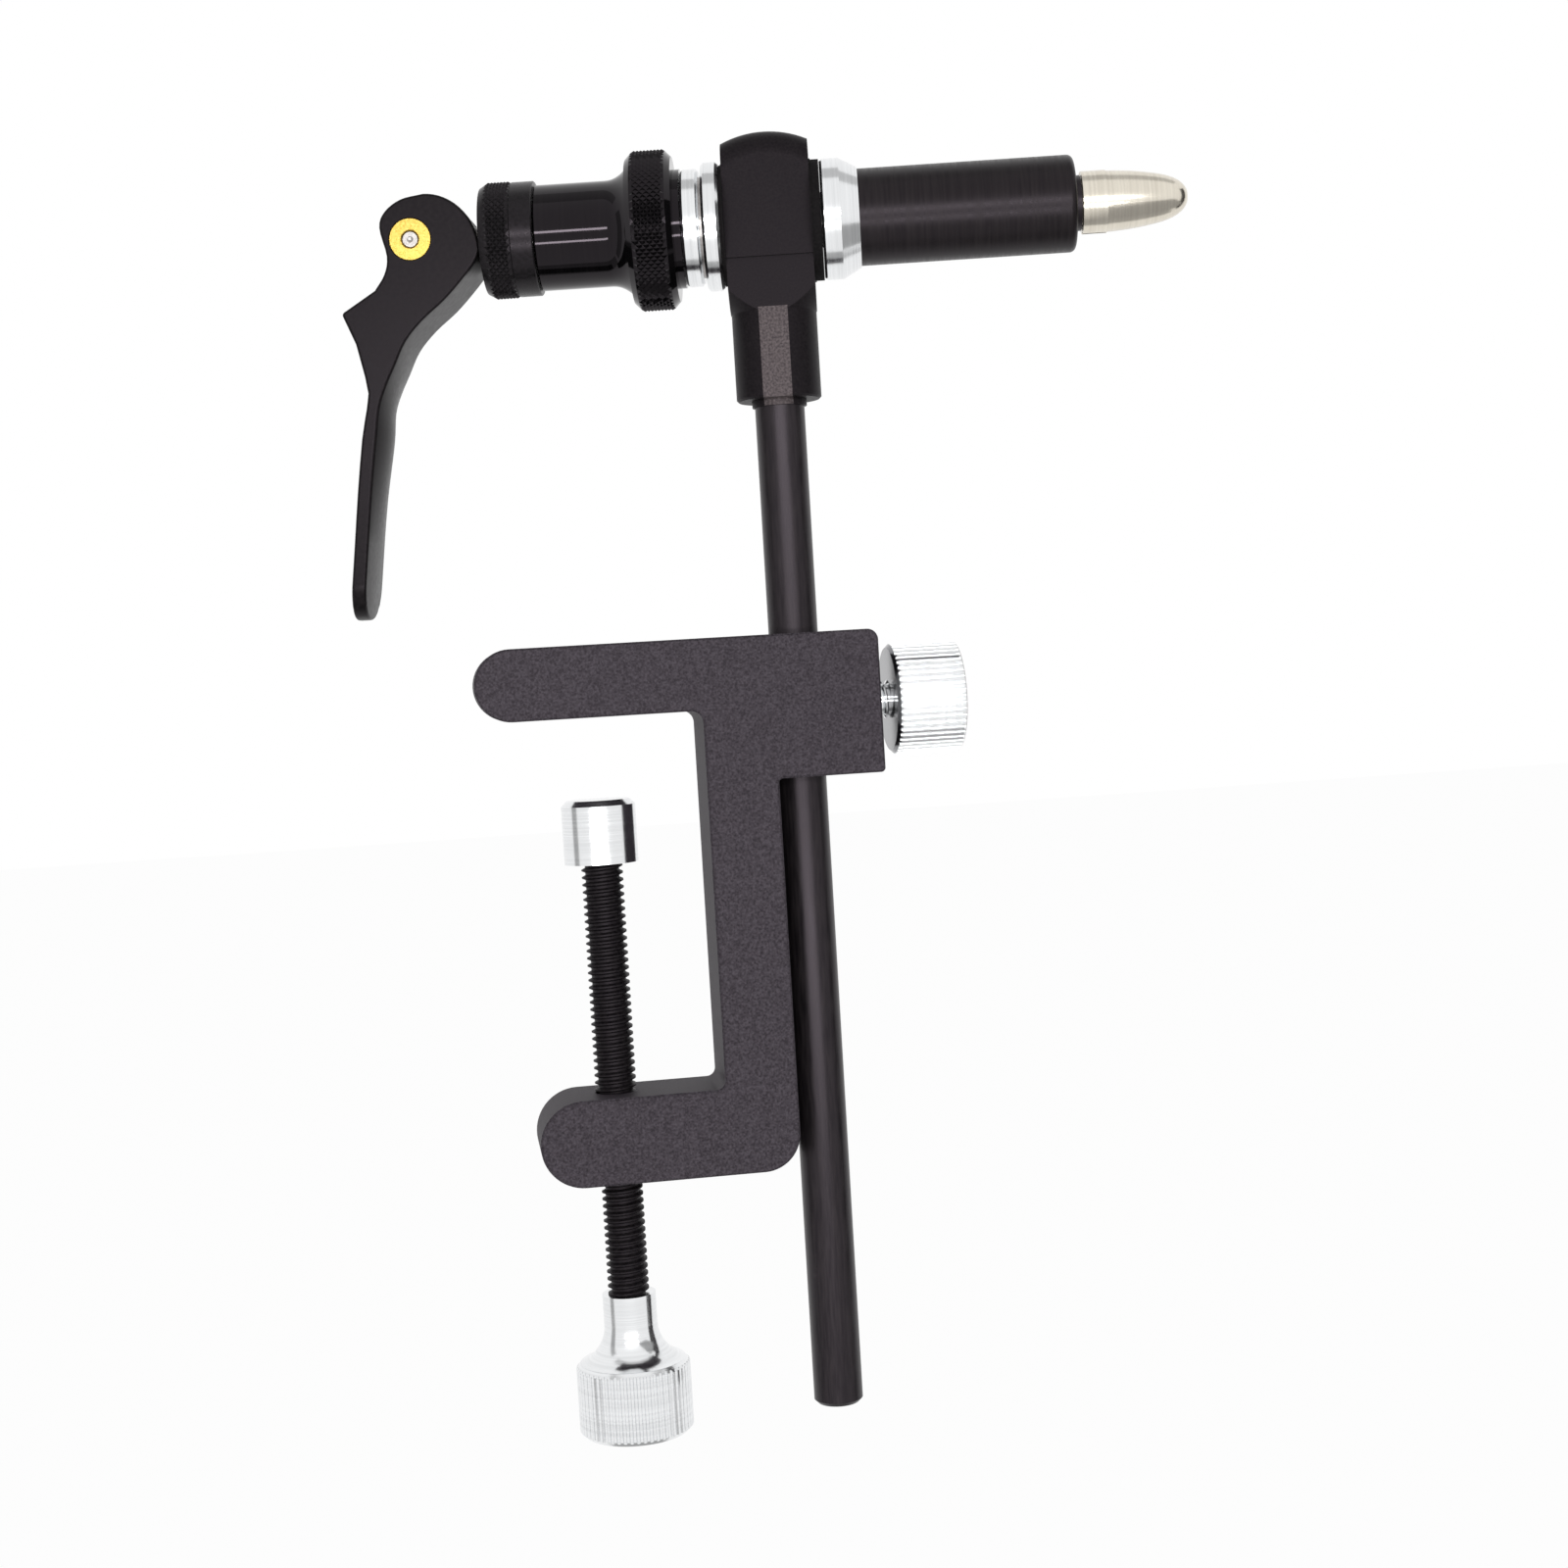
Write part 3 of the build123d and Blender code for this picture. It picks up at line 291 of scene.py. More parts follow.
def trace(name, points):
    """Draws a line of corners: one corner is added and extruded along. The new piece is left in edit mode."""
    bpy.ops.object.select_all(action="DESELECT")
    bpy.ops.mesh.primitive_plane_add(size=seed_size)
    bpy.context.object.name = name
    bpy.ops.object.mode_set(mode="EDIT")
    bpy.ops.mesh.select_mode(type="VERT")
    bpy.ops.mesh.merge(type="CENTER")
    bpy.ops.transform.translate(value=points[0])
    for here, there in zip(points, points[1:]):
        step = Vector(there) - Vector(here)
        bpy.ops.mesh.extrude_region_move(TRANSFORM_OT_translate={"value": step})
    return bpy.context.object


def pick(kind, test):
    """Selects the corners, edges or faces that pass the test, and nothing else."""
    bpy.ops.mesh.select_mode(type={"verts": "VERT", "edges": "EDGE", "faces": "FACE"}[kind])
    bpy.ops.mesh.select_all(action="DESELECT")
    mesh = bmesh.from_edit_mesh(bpy.context.object.data)
    for item in getattr(mesh, kind):
        item.select_set(test(item))
    bmesh.update_edit_mesh(bpy.context.object.data)


def close_and_smooth(angle=round_smoothing):
    """Merges the seams, turns the faces outwards and leaves edit mode, with rounded faces shaded as round."""
    bpy.ops.mesh.select_all(action="SELECT")
    bpy.ops.mesh.remove_doubles(threshold=weld)
    bpy.ops.mesh.normals_make_consistent(inside=False)
    bpy.ops.object.mode_set(mode="OBJECT")
    bpy.ops.object.shade_smooth_by_angle(angle=angle)


def settle(piece, place, turn=(0, 0, 0)):
    """Puts a piece in its place and writes the place into its mesh."""
    bpy.ops.object.select_all(action="DESELECT")
    piece.select_set(True)
    bpy.context.view_layer.objects.active = piece
    piece.location = place
    piece.rotation_euler = turn
    bpy.ops.object.transform_apply(location=True, rotation=True, scale=True)


def stand_for(piece, node, body, material):
    """The piece shows in place of a packed one, moves with its body and has its finish."""
    piece.data.materials.clear()
    piece.data.materials.append(material)
    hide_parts(node)
    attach(piece, body)


def threaded(name, radius, length, lower_spigot, upper_spigot, spigot):
    """A screw along Z from 0 to its length: one turn of thread, wound up and cut flat, and two spigots."""
    flank = screw_pitch * (1 - thread_crest_share - thread_root_share) / 2
    crest = screw_pitch * thread_crest_share
    root = crest + flank + screw_pitch * thread_root_share
    turns = int(length / screw_pitch) + thread_spare_turns
    start = -thread_spare_turns / 2 * screw_pitch
    one_turn = [(radius, 0), (radius, crest), (radius - thread_depth, crest + flank)]
    one_turn += [(radius - thread_depth, root), (radius, screw_pitch)]
    piece = trace(name, [(out, 0, start + height) for out, height in one_turn])
    bpy.ops.object.mode_set(mode="OBJECT")
    wind = piece.modifiers.new("wind", "SCREW")
    wind.angle = tau
    wind.screw_offset = screw_pitch
    wind.iterations = turns
    wind.steps = thread_steps
    wind.render_steps = thread_steps
    wind.use_merge_vertices = True
    wind.merge_threshold = weld
    bpy.ops.object.modifier_apply(modifier=wind.name)
    bpy.ops.object.mode_set(mode="EDIT")
    bpy.ops.mesh.select_all(action="SELECT")
    bpy.ops.mesh.remove_doubles(threshold=weld)
    for height, outwards, spigot_length in ((0, -1, lower_spigot), (length, 1, upper_spigot)):
        bpy.ops.mesh.select_all(action="SELECT")
        bpy.ops.mesh.bisect(
            plane_co=(0, 0, height), plane_no=(0, 0, outwards), threshold=weld / 2,
            use_fill=True, clear_outer=True,
        )
        pick("faces", lambda face: (
            len(face.verts) > thread_face_corners
            and abs(face.calc_center_median().z - height) < same_place
        ))
        bpy.ops.mesh.inset(thickness=radius - thread_depth - spigot)
        bpy.ops.mesh.extrude_region_move(TRANSFORM_OT_translate={"value": (0, 0, outwards * spigot_length)})
    close_and_smooth(thread_smoothing)
    return piece


oxide_black = finish(
    "screw_black",
    dark=(0.005, 0.004, 0.005), light=(0.016, 0.014, 0.015),
    grain=(0.0008, 0.0008, 0.0008), depth=0.00002,
    metallic=0.0, rough=(0.38, 0.55), specular=0.16,
)
clamp_screw = threaded(
    "clamp_screw_thread", screw_radius, screw_top - screw_bottom,
    lower_spigot=knob_spigot_length, upper_spigot=pad_spigot_length, spigot=spigot_radius,
)
settle(clamp_screw, (0, 0, screw_bottom))
stand_for(clamp_screw, "clamp_screw", "screw", oxide_black)


# The pad: a bright turned cap that stays still under the table while the screw turns in it, kept on by a
# wire ring. The knob below is turned from the same bright bar and has straight flutes rolled into its grip.
turned_mark_width = 0.00035
turned_mark_run = 0.03
turned_line_spacing = 0.0003
turned_line_depth = 0.000001


def bright(name, axis, about=(0, 0, 0), turn=0, lined=True):
    """Aluminium turned round this axis and polished, with the faint lines that the lathe leaves."""
    return finish(
        name,
        dark=(0.76, 0.77, 0.78), light=(0.88, 0.89, 0.90),
        grain=[turned_mark_width if other == axis else turned_mark_run for other in "XYZ"], depth=0.0000015,
        metallic=1.0, rough=(0.13, 0.19),
        about=about, turn=turn,
        lines=(axis, turned_line_spacing, turned_line_depth) if lined else None,
    )


bright_upright = bright("bright_upright", "Z")
dress(bright_upright, "clamp_pad", "clamp_knob")
ground_steel = finish(
    "spring_steel",
    dark=(0.30, 0.28, 0.27), light=(0.46, 0.44, 0.43),
    grain=(0.0006, 0.0006, 0.0006), depth=0.000004,
    metallic=1.0, rough=(0.26, 0.38),
)
dress(ground_steel, "pad_ring", "spindle", "spring_washer", "drawbar")


# The stem: a plain drawn steel rod, black and satin, with faint lines along it from drawing. It slides in
# the clamp's block and ends in the tee's socket. The ring at the nose of the head has the same finish.
satin_black = finish(
    "stem_black",
    dark=(0.006, 0.005, 0.006), light=(0.020, 0.017, 0.018),
    grain=(0.0005, 0.0005, 0.006), depth=0.00001,
    metallic=0.0, rough=(0.30, 0.38), specular=0.3,
)
dress(satin_black, "stem", "nose_ring")


# The lock: a bright fluted knob on a threaded shank, which presses a soft brass plug on the stem. The knob's
# ends are painted darker than its grip: painted shade, standing in for the dark that its end faces show.
lock_radius = 0.0037
lock_height = -0.00005
lock_screw_start = 0.0078625
lock_knob_start = 0.0178
lock_spigot_radius = 0.0029
lock_spigot_length = 0.0103
knob_rim_length = 0.0006
knob_face_skin = 0.0002
bright_across = bright("bright_across", "X")
turned_brass = finish(
    "brass",
    dark=(0.46, 0.31, 0.06), light=(0.64, 0.45, 0.12),
    grain=(0.0005, 0.0005, 0.0005), depth=0.000006,
    metallic=1.0, rough=(0.24, 0.36),
)
painted_shade_ends = bright("lock_knob_bright", "X", lined=False)


def second_tone(material, along, side, limit, dark, light, half_width=None):
    """Gives the grain two other colours on one side of a limit along an axis, all over or in a strip."""
    tree = material.node_tree
    place = tree.nodes.new("ShaderNodeSeparateXYZ")
    axes = tree.nodes.new("ShaderNodeMapping")
    axes.vector_type = "TEXTURE"
    for part in ("Location", "Rotation"):
        axes.inputs[part].default_value = tree.nodes["Mapping"].inputs[part].default_value
    tree.links.new(tree.nodes["Texture Coordinate"].outputs["Object"], axes.inputs["Vector"])
    tree.links.new(axes.outputs["Vector"], place.inputs["Vector"])

    def worked(operation, value, other):
        step = tree.nodes.new("ShaderNodeMath")
        step.operation = operation
        tree.links.new(value, step.inputs[0])
        if isinstance(other, float):
            step.inputs[1].default_value = other
        else:
            tree.links.new(other, step.inputs[1])
        return step.outputs[0]

    mask = worked(side, place.outputs[along], limit)
    if half_width:
        aside = worked("MULTIPLY", place.outputs["X"], place.outputs["X"])
        mask = worked("MULTIPLY", mask, worked("LESS_THAN", aside, half_width ** 2))
    tone = tree.nodes.new("ShaderNodeValToRGB")
    for stop, position, shade in zip(tone.color_ramp.elements, grain_colour_stops, (dark, light)):
        stop.position = position
        stop.color = (*shade, 1)
    both = tree.nodes.new("ShaderNodeMix")
    both.data_type = "RGBA"
    tree.links.new(tree.nodes["Noise Texture"].outputs["Fac"], tone.inputs["Fac"])
    tree.links.new(mask, both.inputs["Factor"])
    base_colour = tree.nodes["Principled BSDF"].inputs["Base Color"]
    tree.links.new(base_colour.links[0].from_socket, both.inputs["A"])
    tree.links.new(tone.outputs["Color"], both.inputs["B"])
    tree.links.new(both.outputs["Result"], base_colour)


# Both end faces of the knob get darker greys, the inner end darker still: painted shade.
knob_inner_end = stem_foot.x + lock_knob_start + knob_rim_length
knob_outer_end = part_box("lock_knob")[1][0] - knob_face_skin
second_tone(painted_shade_ends, "X", "LESS_THAN", knob_inner_end, (0.19, 0.19, 0.20), (0.21, 0.21, 0.22))
second_tone(painted_shade_ends, "X", "GREATER_THAN", knob_outer_end, (0.44, 0.44, 0.45), (0.54, 0.54, 0.55))
dress(painted_shade_ends, "lock_knob")
dress(turned_brass, "lock_tip")
lock_screw = threaded(
    "lock_screw_thread", lock_radius, lock_knob_start - lock_screw_start,
    lower_spigot=0.0, upper_spigot=lock_spigot_length, spigot=lock_spigot_radius,
)
settle(lock_screw, (stem_foot.x + lock_screw_start, 0, lock_height), (0, pi / 2, 0))
stand_for(lock_screw, "lock_screw", "lock", bright_across)


# The tee head: a square aluminium bar with a crowned top, turned down below to a socket for the stem. It is
# anodised satin black, with a lighter strip painted on the socket's flats as a painted highlight, and stands
# a little swivelled on the stem, so that the lines of the whole head follow that turn.
head_turn = radians(-10.0)
head_centre = Vector((stem_foot.x, 0, 0.0922))
anodised_black = finish(
    "head_black",
    dark=(0.005, 0.004, 0.005), light=(0.014, 0.012, 0.013),
    grain=(0.00045, 0.00045, 0.00045), depth=0.00002,
    metallic=0.0, rough=(0.40, 0.52), specular=0.12,
    about=head_centre, turn=head_turn,
)
# The lighter grey strip set below on the socket's flats is a painted highlight.
socket_flat_top = -0.0168
socket_flat_half_width = 0.00276
second_tone(
    anodised_black, "Z", "LESS_THAN", socket_flat_top,
    dark=(0.046, 0.038, 0.040), light=(0.165, 0.138, 0.140), half_width=socket_flat_half_width,
)
dress(anodised_black, "tee_head")
fibre_black = finish(
    "bush_black",
    dark=(0.004, 0.004, 0.004), light=(0.014, 0.013, 0.013),
    grain=(0.0006, 0.0006, 0.0006), depth=0.00004,
    metallic=0.0, rough=(0.7, 0.9), specular=0.1,
    about=head_centre, turn=head_turn,
)
dress(fibre_black, "bush_front", "bush_rear", "friction_washer_front", "friction_washer_rear")


# The bright rings: turned and polished aluminium, two behind the tee and the coned collar in front of it.
# The tension knob presses them and the washers between them together along the spindle.
bright_head = bright("bright_head", "X", about=head_centre, turn=head_turn)
dress(bright_head, "thrust_ring", "tension_washer", "front_collar")


# The tension knob: one turned aluminium piece, glossy black, with a diamond knurl rolled into its wide grip,
# a hollow sweep behind that and a plain barrel that the fingers rest on.
bore_radius = 0.00525
lip_front = -0.0164
lip_radius = 0.011175
grip_front = -0.0178
grip_back = -0.0265
grip_radius = 0.0151
grip_chamfer = 0.00105
flare_radius = 0.012075
barrel_front = -0.03085
barrel_radius = 0.00995
barrel_back = -0.0441
grip_cells_round = 64
grip_cells_along = 5
knurl_height = 0.00042
knurl_reach = 0.0001
same_ray = 0.00000001
sweep_steps = 8
sweep_hollow = 2.2
barrel_edge = 0.0002


def turned(name, section, axis, steps):
    """A turned piece: its closed half section of (along, out) points is spun round the X or Y axis."""
    corner = {"X": lambda along, out: (along, 0, out), "Y": lambda along, out: (0, along, out)}[axis]
    piece = trace(name, [corner(*point) for point in section + section[:1]])
    bpy.ops.mesh.select_all(action="SELECT")
    bpy.ops.mesh.remove_doubles(threshold=weld)
    bpy.ops.mesh.select_all(action="SELECT")
    bpy.ops.mesh.spin(steps=steps, angle=tau, center=(0, 0, 0), axis=(axis == "X", axis == "Y", 0))
    bpy.ops.mesh.select_all(action="SELECT")
    bpy.ops.mesh.remove_doubles(threshold=weld)
    bpy.ops.mesh.normals_make_consistent(inside=False)
    return piece


def band(start, end, radius, cells):
    """Points along a plain band, one for each row of knurl cells."""
    return [(start + (end - start) * cell / cells, radius) for cell in range(cells + 1)]


def roll_knurl(low, high, radius):
    """Rolls a diamond knurl: cells are crossed, their outlines dissolved and the diamonds raised."""
    def in_band(face):
        middle = face.calc_center_median()
        return low < middle.x < high and abs(hypot(middle.y, middle.z) - radius) < knurl_reach

    def on_outline(edge):
        first, second = (corner.co for corner in edge.verts)
        along = abs(first.x - second.x) < same_place
        across = abs(first.y * second.z - first.z * second.y) < same_ray
        return all(in_band(face) for face in edge.link_faces) and (along or across)

    pick("faces", in_band)
    bpy.ops.mesh.poke()
    pick("edges", on_outline)
    bpy.ops.mesh.dissolve_edges(use_verts=False)
    pick("faces", lambda face: in_band(face) and len(face.verts) == 4)
    bpy.ops.mesh.poke(offset=knurl_height)


sweep = []
for step in range(sweep_steps + 1):
    share = step / sweep_steps
    flare = (flare_radius - barrel_radius) * (1 - share) ** sweep_hollow
    sweep.append((grip_back + (barrel_front - grip_back) * share, barrel_radius + flare))
knob_section = [(lip_front, bore_radius), (lip_front, lip_radius), (grip_front, lip_radius)]
knob_section += [(grip_front, grip_radius - grip_chamfer - knurl_height)]
knob_section += band(
    grip_front - grip_chamfer, grip_back + grip_chamfer, grip_radius - knurl_height, grip_cells_along
)
knob_section += [(grip_back, grip_radius - grip_chamfer - knurl_height)]
knob_section += sweep
knob_section += [(barrel_back + barrel_edge, barrel_radius), (barrel_back, barrel_radius - barrel_edge)]
knob_section += [(barrel_back, bore_radius)]
tension_knob = turned("tension_knob_turned", knob_section, "X", grip_cells_round)
roll_knurl(grip_back + grip_chamfer, grip_front - grip_chamfer, grip_radius - knurl_height)
close_and_smooth()
glossy_black = finish(
    "barrel_black",
    dark=(0.0012, 0.0012, 0.0014), light=(0.0034, 0.0031, 0.0034),
    grain=(0.0005, 0.02, 0.02), depth=0.0000003,
    metallic=0.0, rough=(0.05, 0.08), specular=0.24,
    about=head_centre, turn=head_turn,
    lines=("X", 0.0003, 0.0000002),
)
settle(tension_knob, head_centre, (0, 0, head_turn))
stand_for(tension_knob, "tension_knob", "tension", glossy_black)


# The adjusting ring: a smaller ring of black aluminium with a knurl and a plain step, threaded on the end of
# the spindle. The lever's cam bears on its back, so turning it sets how wide the jaws open.
adjust_front = -0.0443
adjust_shoulder = -0.0485
adjust_back = -0.0546
adjust_step_radius = 0.0108
adjust_radius = 0.011025
adjust_chamfer = 0.001
adjust_edge = 0.0002
adjust_wall = 0.00265
drawbar_hole_radius = 0.0029
adjust_cells_round = 48
adjust_cells_along = 4
adjust_section = [(adjust_front, bore_radius), (adjust_front, adjust_step_radius - adjust_edge)]
adjust_section += [(adjust_front - adjust_edge, adjust_step_radius), (adjust_shoulder, adjust_step_radius)]
adjust_section += band(
    adjust_shoulder - adjust_edge, adjust_back + adjust_chamfer,
    adjust_radius - knurl_height, adjust_cells_along,
)
adjust_section += [(adjust_back, adjust_radius - adjust_chamfer), (adjust_back, drawbar_hole_radius)]
adjust_section += [(adjust_back + adjust_wall, drawbar_hole_radius), (adjust_back + adjust_wall, bore_radius)]
adjust_ring = turned("adjust_ring_turned", adjust_section, "X", adjust_cells_round)
roll_knurl(adjust_back + adjust_chamfer, adjust_shoulder - adjust_edge, adjust_radius - knurl_height)
close_and_smooth()
satin_grip = finish(
    "barrel_satin",
    dark=(0.004, 0.004, 0.004), light=(0.011, 0.010, 0.011),
    grain=(0.0007, 0.0007, 0.0007), depth=0.000005,
    metallic=0.0, rough=(0.24, 0.34), specular=0.2,
    about=head_centre, turn=head_turn,
)
settle(adjust_ring, head_centre, (0, 0, head_turn))
stand_for(adjust_ring, "adjust_ring", "adjuster", satin_grip)


# The sleeve: a long turned aluminium tube, satin black, with a rounded front edge and faint lathe lines. It
# screws on the spindle and houses the jaws' shanks and the large spring.
sleeve_black = finish(
    "sleeve_black",
    dark=(0.005, 0.004, 0.0045), light=(0.013, 0.011, 0.011),
    grain=(0.0005, 0.012, 0.012), depth=0.000006,
    metallic=0.0, rough=(0.28, 0.40), specular=0.22,
    about=head_centre, turn=head_turn,
    lines=("X", 0.0004, 0.0000012),
)
dress(sleeve_black, "front_sleeve")


# The two springs: coils of hard steel wire. The large one pushes the drawbar forward, and the small one,
# which lies across the slit, opens the jaws.
wire_sides = 10
coil_steps = 28
wire_smoothing = radians(50)


def coil(name, mean_radius, wire, length, turns):
    """A coil of round wire along X, its middle at 0, with both ends of the wire capped."""
    bpy.ops.object.select_all(action="DESELECT")
    bpy.ops.mesh.primitive_circle_add(vertices=wire_sides, radius=wire / 2, rotation=(pi / 2, 0, 0))
    piece = bpy.context.object
    piece.name = name
    bpy.ops.object.transform_apply(rotation=True)
    bpy.ops.object.mode_set(mode="EDIT")
    bpy.ops.mesh.select_all(action="SELECT")
    bpy.ops.transform.translate(value=(wire / 2 - length / 2, 0, mean_radius))
    bpy.ops.object.mode_set(mode="OBJECT")
    wind = piece.modifiers.new("wind", "SCREW")
    wind.axis = "X"
    wind.angle = tau
    wind.screw_offset = (length - wire) / turns
    wind.iterations = turns
    wind.steps = coil_steps
    wind.render_steps = coil_steps
    bpy.ops.object.modifier_apply(modifier=wind.name)
    bpy.ops.object.mode_set(mode="EDIT")
    bpy.ops.mesh.select_all(action="SELECT")
    bpy.ops.mesh.fill_holes(sides=0)
    close_and_smooth(wire_smoothing)
    return piece


def along_head(distance):
    """A place on the head's own axis, this far in front of the stem."""
    return head_centre + Vector((distance * cos(head_turn), distance * sin(head_turn), 0))


return_spring_middle = 0.03065
return_spring = coil("return_spring_coil", mean_radius=0.003475, wire=0.00063, length=0.0075, turns=6)
settle(return_spring, along_head(return_spring_middle), (0, 0, head_turn))
stand_for(return_spring, "return_spring", "head", ground_steel)
jaw_spring_middle = 0.048075
jaw_spring = coil("jaw_spring_coil", mean_radius=0.00094, wire=0.00036, length=0.0029, turns=4)
settle(jaw_spring, along_head(jaw_spring_middle), (0, 0, head_turn + pi / 2))
stand_for(jaw_spring, "jaw_spring", "drawbar", ground_steel)


# The hook jaws: one bullet turned from tool steel, nickel plated to a pale warm shine and slit into two
# halves. Their shanks go into the sleeve, where the drawbar holds them by its button.
plated_nickel = finish(
    "jaw_steel",
    dark=(0.68, 0.63, 0.54), light=(0.80, 0.75, 0.65),
    grain=(0.0006, 0.03, 0.03), depth=0.0000004,
    metallic=1.0, rough=(0.17, 0.22),
    about=head_centre, turn=head_turn,
    lines=("X", 0.0004, 0.0000003),
)
dress(plated_nickel, "jaw_near", "jaw_far")


# The cam lever: a black painted casting. Its two cheeks are the cam that pushes on the adjusting ring, and
# the thin paddle below them, which ends in a round tongue, is what the thumb presses.
lever_length = 0.071
lever_width = 0.0161
lever_edge = 0.00055
tongue_radius = 0.0071
cam_reach = 0.01305
cam_rise = 0.00295
cam_steps = 14
run_cuts = 4
paddle_cuts = 2
tongue_steps = 12
tongue_end_share = 0.999
tongue_profile = 0.5
lever_edge_steps = 3
lever_edge_angle = radians(38)
lever_smoothing = radians(30)
hole_steps = 64
pin_place = Vector((-0.06775, 0, 0))
slot_half_width = 0.002425
slot_drop = 0.00445
bush_body_radius = 0.003025
bush_flange_radius = 0.004025
bush_flange_length = 0.0015
fit = 0.00005


def smooth_run(points, cuts):
    """A flowing line through the points, with each stretch divided into this many parts."""
    ends = [points[0] * 2 - points[1]] + points + [points[-1] * 2 - points[-2]]
    run = []
    for before, here, there, after in zip(ends, ends[1:], ends[2:], ends[3:]):
        for cut in range(cuts):
            t = cut / cuts
            bend = (2 * before - 5 * here + 4 * there - after) * t ** 2
            bend += (3 * here - before - 3 * there + after) * t ** 3
            run.append(here + ((there - before) * t + bend) / 2)
    return run + [points[-1]]


def shares(pairs):
    """Outline points given as shares of the lever's length, measured from its pin."""
    return [Vector((along, 0, height)) * lever_length for along, height in pairs]


cam = []
for step in range(cam_steps + 1):
    turn = pi / 2 * step / cam_steps
    reach = cam_reach - cam_rise * turn
    along = reach * cos(turn) + cam_rise * sin(turn)
    height = reach * sin(turn) - cam_rise * cos(turn)
    cam.append(Vector((along, 0, height)))
back_of_cheek = shares([
    (-0.0197, 0.1075), (-0.0645, 0.0773), (-0.081, 0.036), (-0.066, -0.040), (-0.076, -0.088),
    (-0.104, -0.129),
])
heel = shares([(-0.197, -0.185), (-0.164, -0.268), (-0.146, -0.355)])
paddle_back = shares([(-0.140, -0.40), (-0.147, -0.44), (-0.165, -0.52), (-0.186, -0.66), (-0.204, -0.80)])
tip = shares([(-0.230, -1.0), (-0.191, -1.0)])
front = shares([
    (-0.166, -0.80), (-0.148, -0.66), (-0.127, -0.52), (-0.113, -0.44), (-0.090, -0.382), (-0.063, -0.330),
    (-0.030, -0.268), (0.018, -0.216), (0.080, -0.166), (0.132, -0.114), (0.168, -0.072),
])
swell = [0.010, 0.018, 0.026, 0.020, 0.0115, 0.006, 0.002, 0, 0, 0, 0, 0]
front_run = smooth_run(front + [cam[0]], run_cuts)
swell_run = smooth_run([Vector((share, 0, 0)) * lever_length for share in swell], run_cuts)
outline = cam[:-1] + smooth_run([cam[-1]] + back_of_cheek, run_cuts) + heel
outline += smooth_run(paddle_back, paddle_cuts) + tip + front_run[:-1]
near_side = Vector((0, -lever_width / 2, 0))
lever = trace("lever_cast", [near_side + point for point in outline + outline[:1]])
bpy.ops.mesh.select_all(action="SELECT")
bpy.ops.mesh.remove_doubles(threshold=weld)
bpy.ops.mesh.select_all(action="SELECT")
bpy.ops.mesh.edge_face_add()
bpy.ops.mesh.extrude_region_move(TRANSFORM_OT_translate={"value": (0, lever_width, 0)})
bpy.ops.mesh.select_all(action="SELECT")
bpy.ops.mesh.normals_make_consistent(inside=False)
pick("edges", lambda edge: (
    all(corner.co.z < -tongue_end_share * lever_length for corner in edge.verts)
    and abs(edge.verts[0].co.y - edge.verts[1].co.y) < same_place
))
bpy.ops.mesh.bevel(
    offset=tongue_radius, segments=tongue_steps, profile=tongue_profile, clamp_overlap=False
)
width_places = (-0.75, -0.5, -0.25, 0.0, 0.25, 0.5, 0.75)
for place in width_places:
    bpy.ops.mesh.select_all(action="SELECT")
    bpy.ops.mesh.bisect(plane_co=(0, place * lever_width / 2, 0), plane_no=(0, 1, 0))
for point, rise in zip(front_run, swell_run):
    for place in width_places:
        here = point + Vector((0, place * lever_width / 2, 0))
        pick("verts", lambda corner: rise.x > weld and (corner.co - here).length < same_place)
        bpy.ops.transform.translate(value=(rise.x * (1 - place ** 2), 0, 0))
bpy.ops.object.mode_set(mode="OBJECT")


def carve(piece, cutter):
    """Cuts one shape out of another and clears the cutter away."""
    cut = piece.modifiers.new("cut", "BOOLEAN")
    cut.operation = "DIFFERENCE"
    cut.solver = "EXACT"
    cut.object = cutter
    bpy.ops.object.select_all(action="DESELECT")
    piece.select_set(True)
    bpy.context.view_layer.objects.active = piece
    bpy.ops.object.modifier_apply(modifier=cut.name)
    bpy.data.objects.remove(cutter)


edge_round = lever.modifiers.new("edge_round", "BEVEL")
edge_round.width = lever_edge
edge_round.segments = lever_edge_steps
edge_round.limit_method = "ANGLE"
edge_round.angle_limit = lever_edge_angle
edge_round.use_clamp_overlap = False
bpy.ops.object.modifier_apply(modifier=edge_round.name)
bpy.ops.object.select_all(action="DESELECT")
bpy.ops.mesh.primitive_cube_add(size=1, location=(0, 0, lever_length / 2 - slot_drop))
bpy.context.object.scale = (2 * lever_length, 2 * slot_half_width, lever_length)
carve(lever, bpy.context.object)
for radius, start, end in (
    (bush_body_radius + fit, -lever_width, lever_width),
    (bush_flange_radius + fit, lever_width / 2 - bush_flange_length - fit, lever_width),
    (bush_flange_radius + fit, -lever_width, -lever_width / 2 + bush_flange_length + fit),
):
    bpy.ops.object.select_all(action="DESELECT")
    bpy.ops.mesh.primitive_cylinder_add(
        vertices=hole_steps, radius=radius, depth=end - start,
        location=(0, (start + end) / 2, 0), rotation=(pi / 2, 0, 0),
    )
    carve(lever, bpy.context.object)
bpy.ops.object.select_all(action="DESELECT")
lever.select_set(True)
bpy.context.view_layer.objects.active = lever
bpy.ops.object.mode_set(mode="EDIT")
close_and_smooth(lever_smoothing)
level = lever.modifiers.new("level", "WEIGHTED_NORMAL")
level.keep_sharp = True
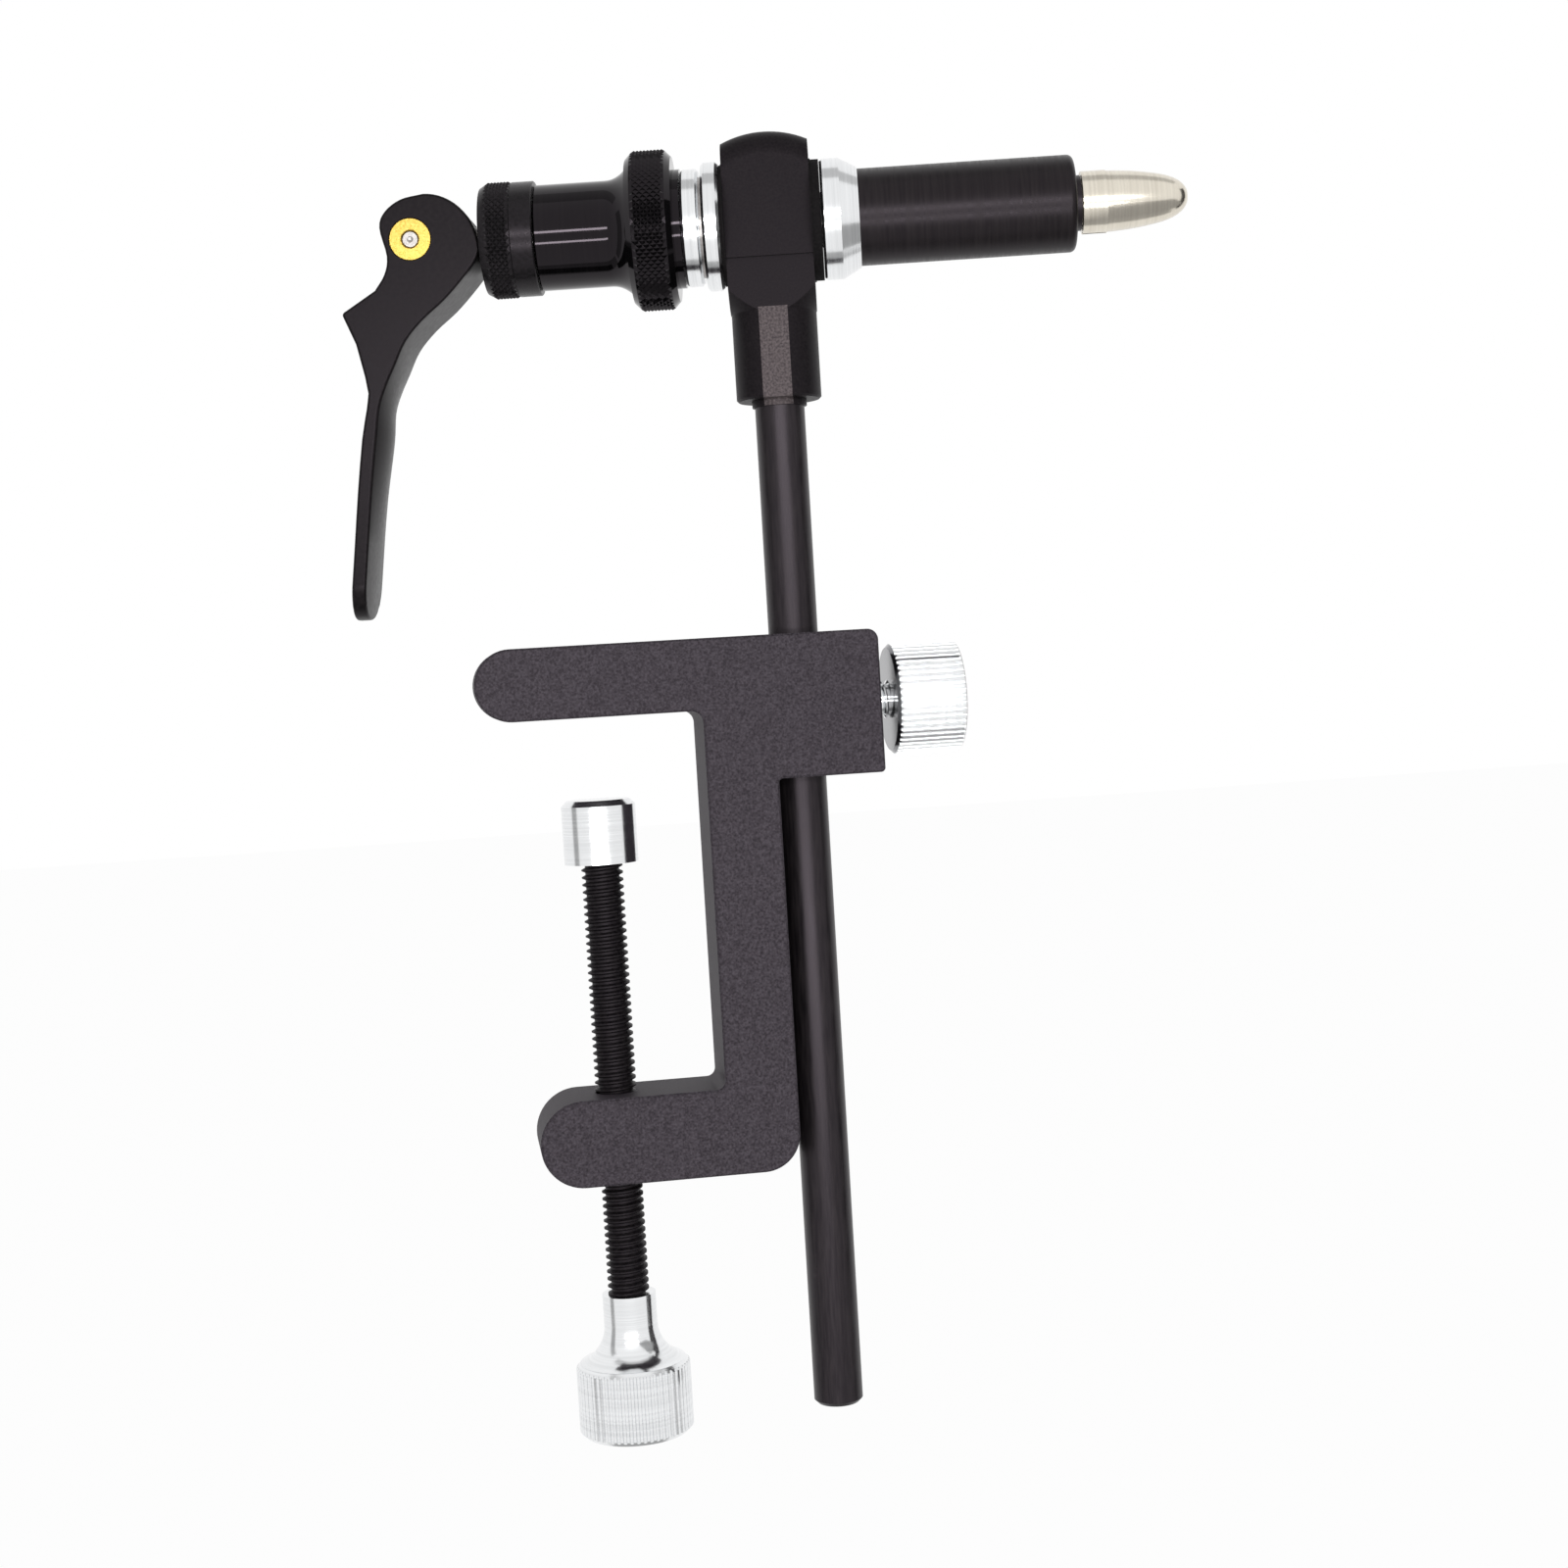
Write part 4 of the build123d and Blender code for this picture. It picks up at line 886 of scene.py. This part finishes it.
bpy.ops.object.modifier_apply(modifier=level.name)
pin_centre = head_centre + Matrix.Rotation(head_turn, 3, "Z") @ pin_place
painted_black = finish(
    "lever_black",
    dark=(0.003, 0.0028, 0.003), light=(0.009, 0.008, 0.008),
    grain=(0.0009, 0.0009, 0.0009), depth=0.000001,
    metallic=0.0, rough=(0.28, 0.36), specular=0.13,
    about=pin_centre, turn=head_turn,
)
settle(lever, pin_centre, (0, 0, head_turn))
stand_for(lever, "cam_lever", "lever", painted_black)


# The lever's bearings: a flanged brass bush pressed into each cheek, and a ground steel pin with a centre
# mark in each end, which is fixed in the drawbar's eye.
pin_radius = 0.0016
pin_half_length = 0.0078
pin_chamfer = 0.00018
mark_radius = 0.0006
mark_depth = 0.0004
bush_setback = 0.00015
bush_inner_end = slot_half_width + bush_setback
bush_edge = 0.00015
bush_steps = 48
pin_steps = 40
half_width = lever_width / 2
flange_start = half_width - bush_flange_length
bush_section = [(bush_inner_end, pin_radius + fit), (bush_inner_end, bush_body_radius)]
bush_section += [(flange_start, bush_body_radius), (flange_start, bush_flange_radius)]
bush_section += [(half_width - bush_edge, bush_flange_radius), (half_width, bush_flange_radius - bush_edge)]
bush_section += [(half_width, pin_radius + fit + bush_edge), (half_width - bush_edge, pin_radius + fit)]
for name, side, node in (("brass_bush_far", 1, "lever_bush_far"), ("brass_bush_near", -1, "lever_bush_near")):
    bush = turned(name, [(along * side, out) for along, out in bush_section], "Y", bush_steps)
    close_and_smooth()
    settle(bush, pin_centre, (0, 0, head_turn))
    stand_for(bush, node, "lever", turned_brass)
end = pin_half_length
pin_section = [(mark_depth - end, 0), (-end, mark_radius)]
pin_section += [(-end, pin_radius - pin_chamfer), (pin_chamfer - end, pin_radius)]
pin_section += [(-along, out) for along, out in reversed(pin_section)]
lever_pin = turned("lever_pin_ground", pin_section, "Y", pin_steps)
close_and_smooth()
settle(lever_pin, pin_centre, (0, 0, head_turn))
stand_for(lever_pin, "lever_pin", "drawbar", ground_steel)
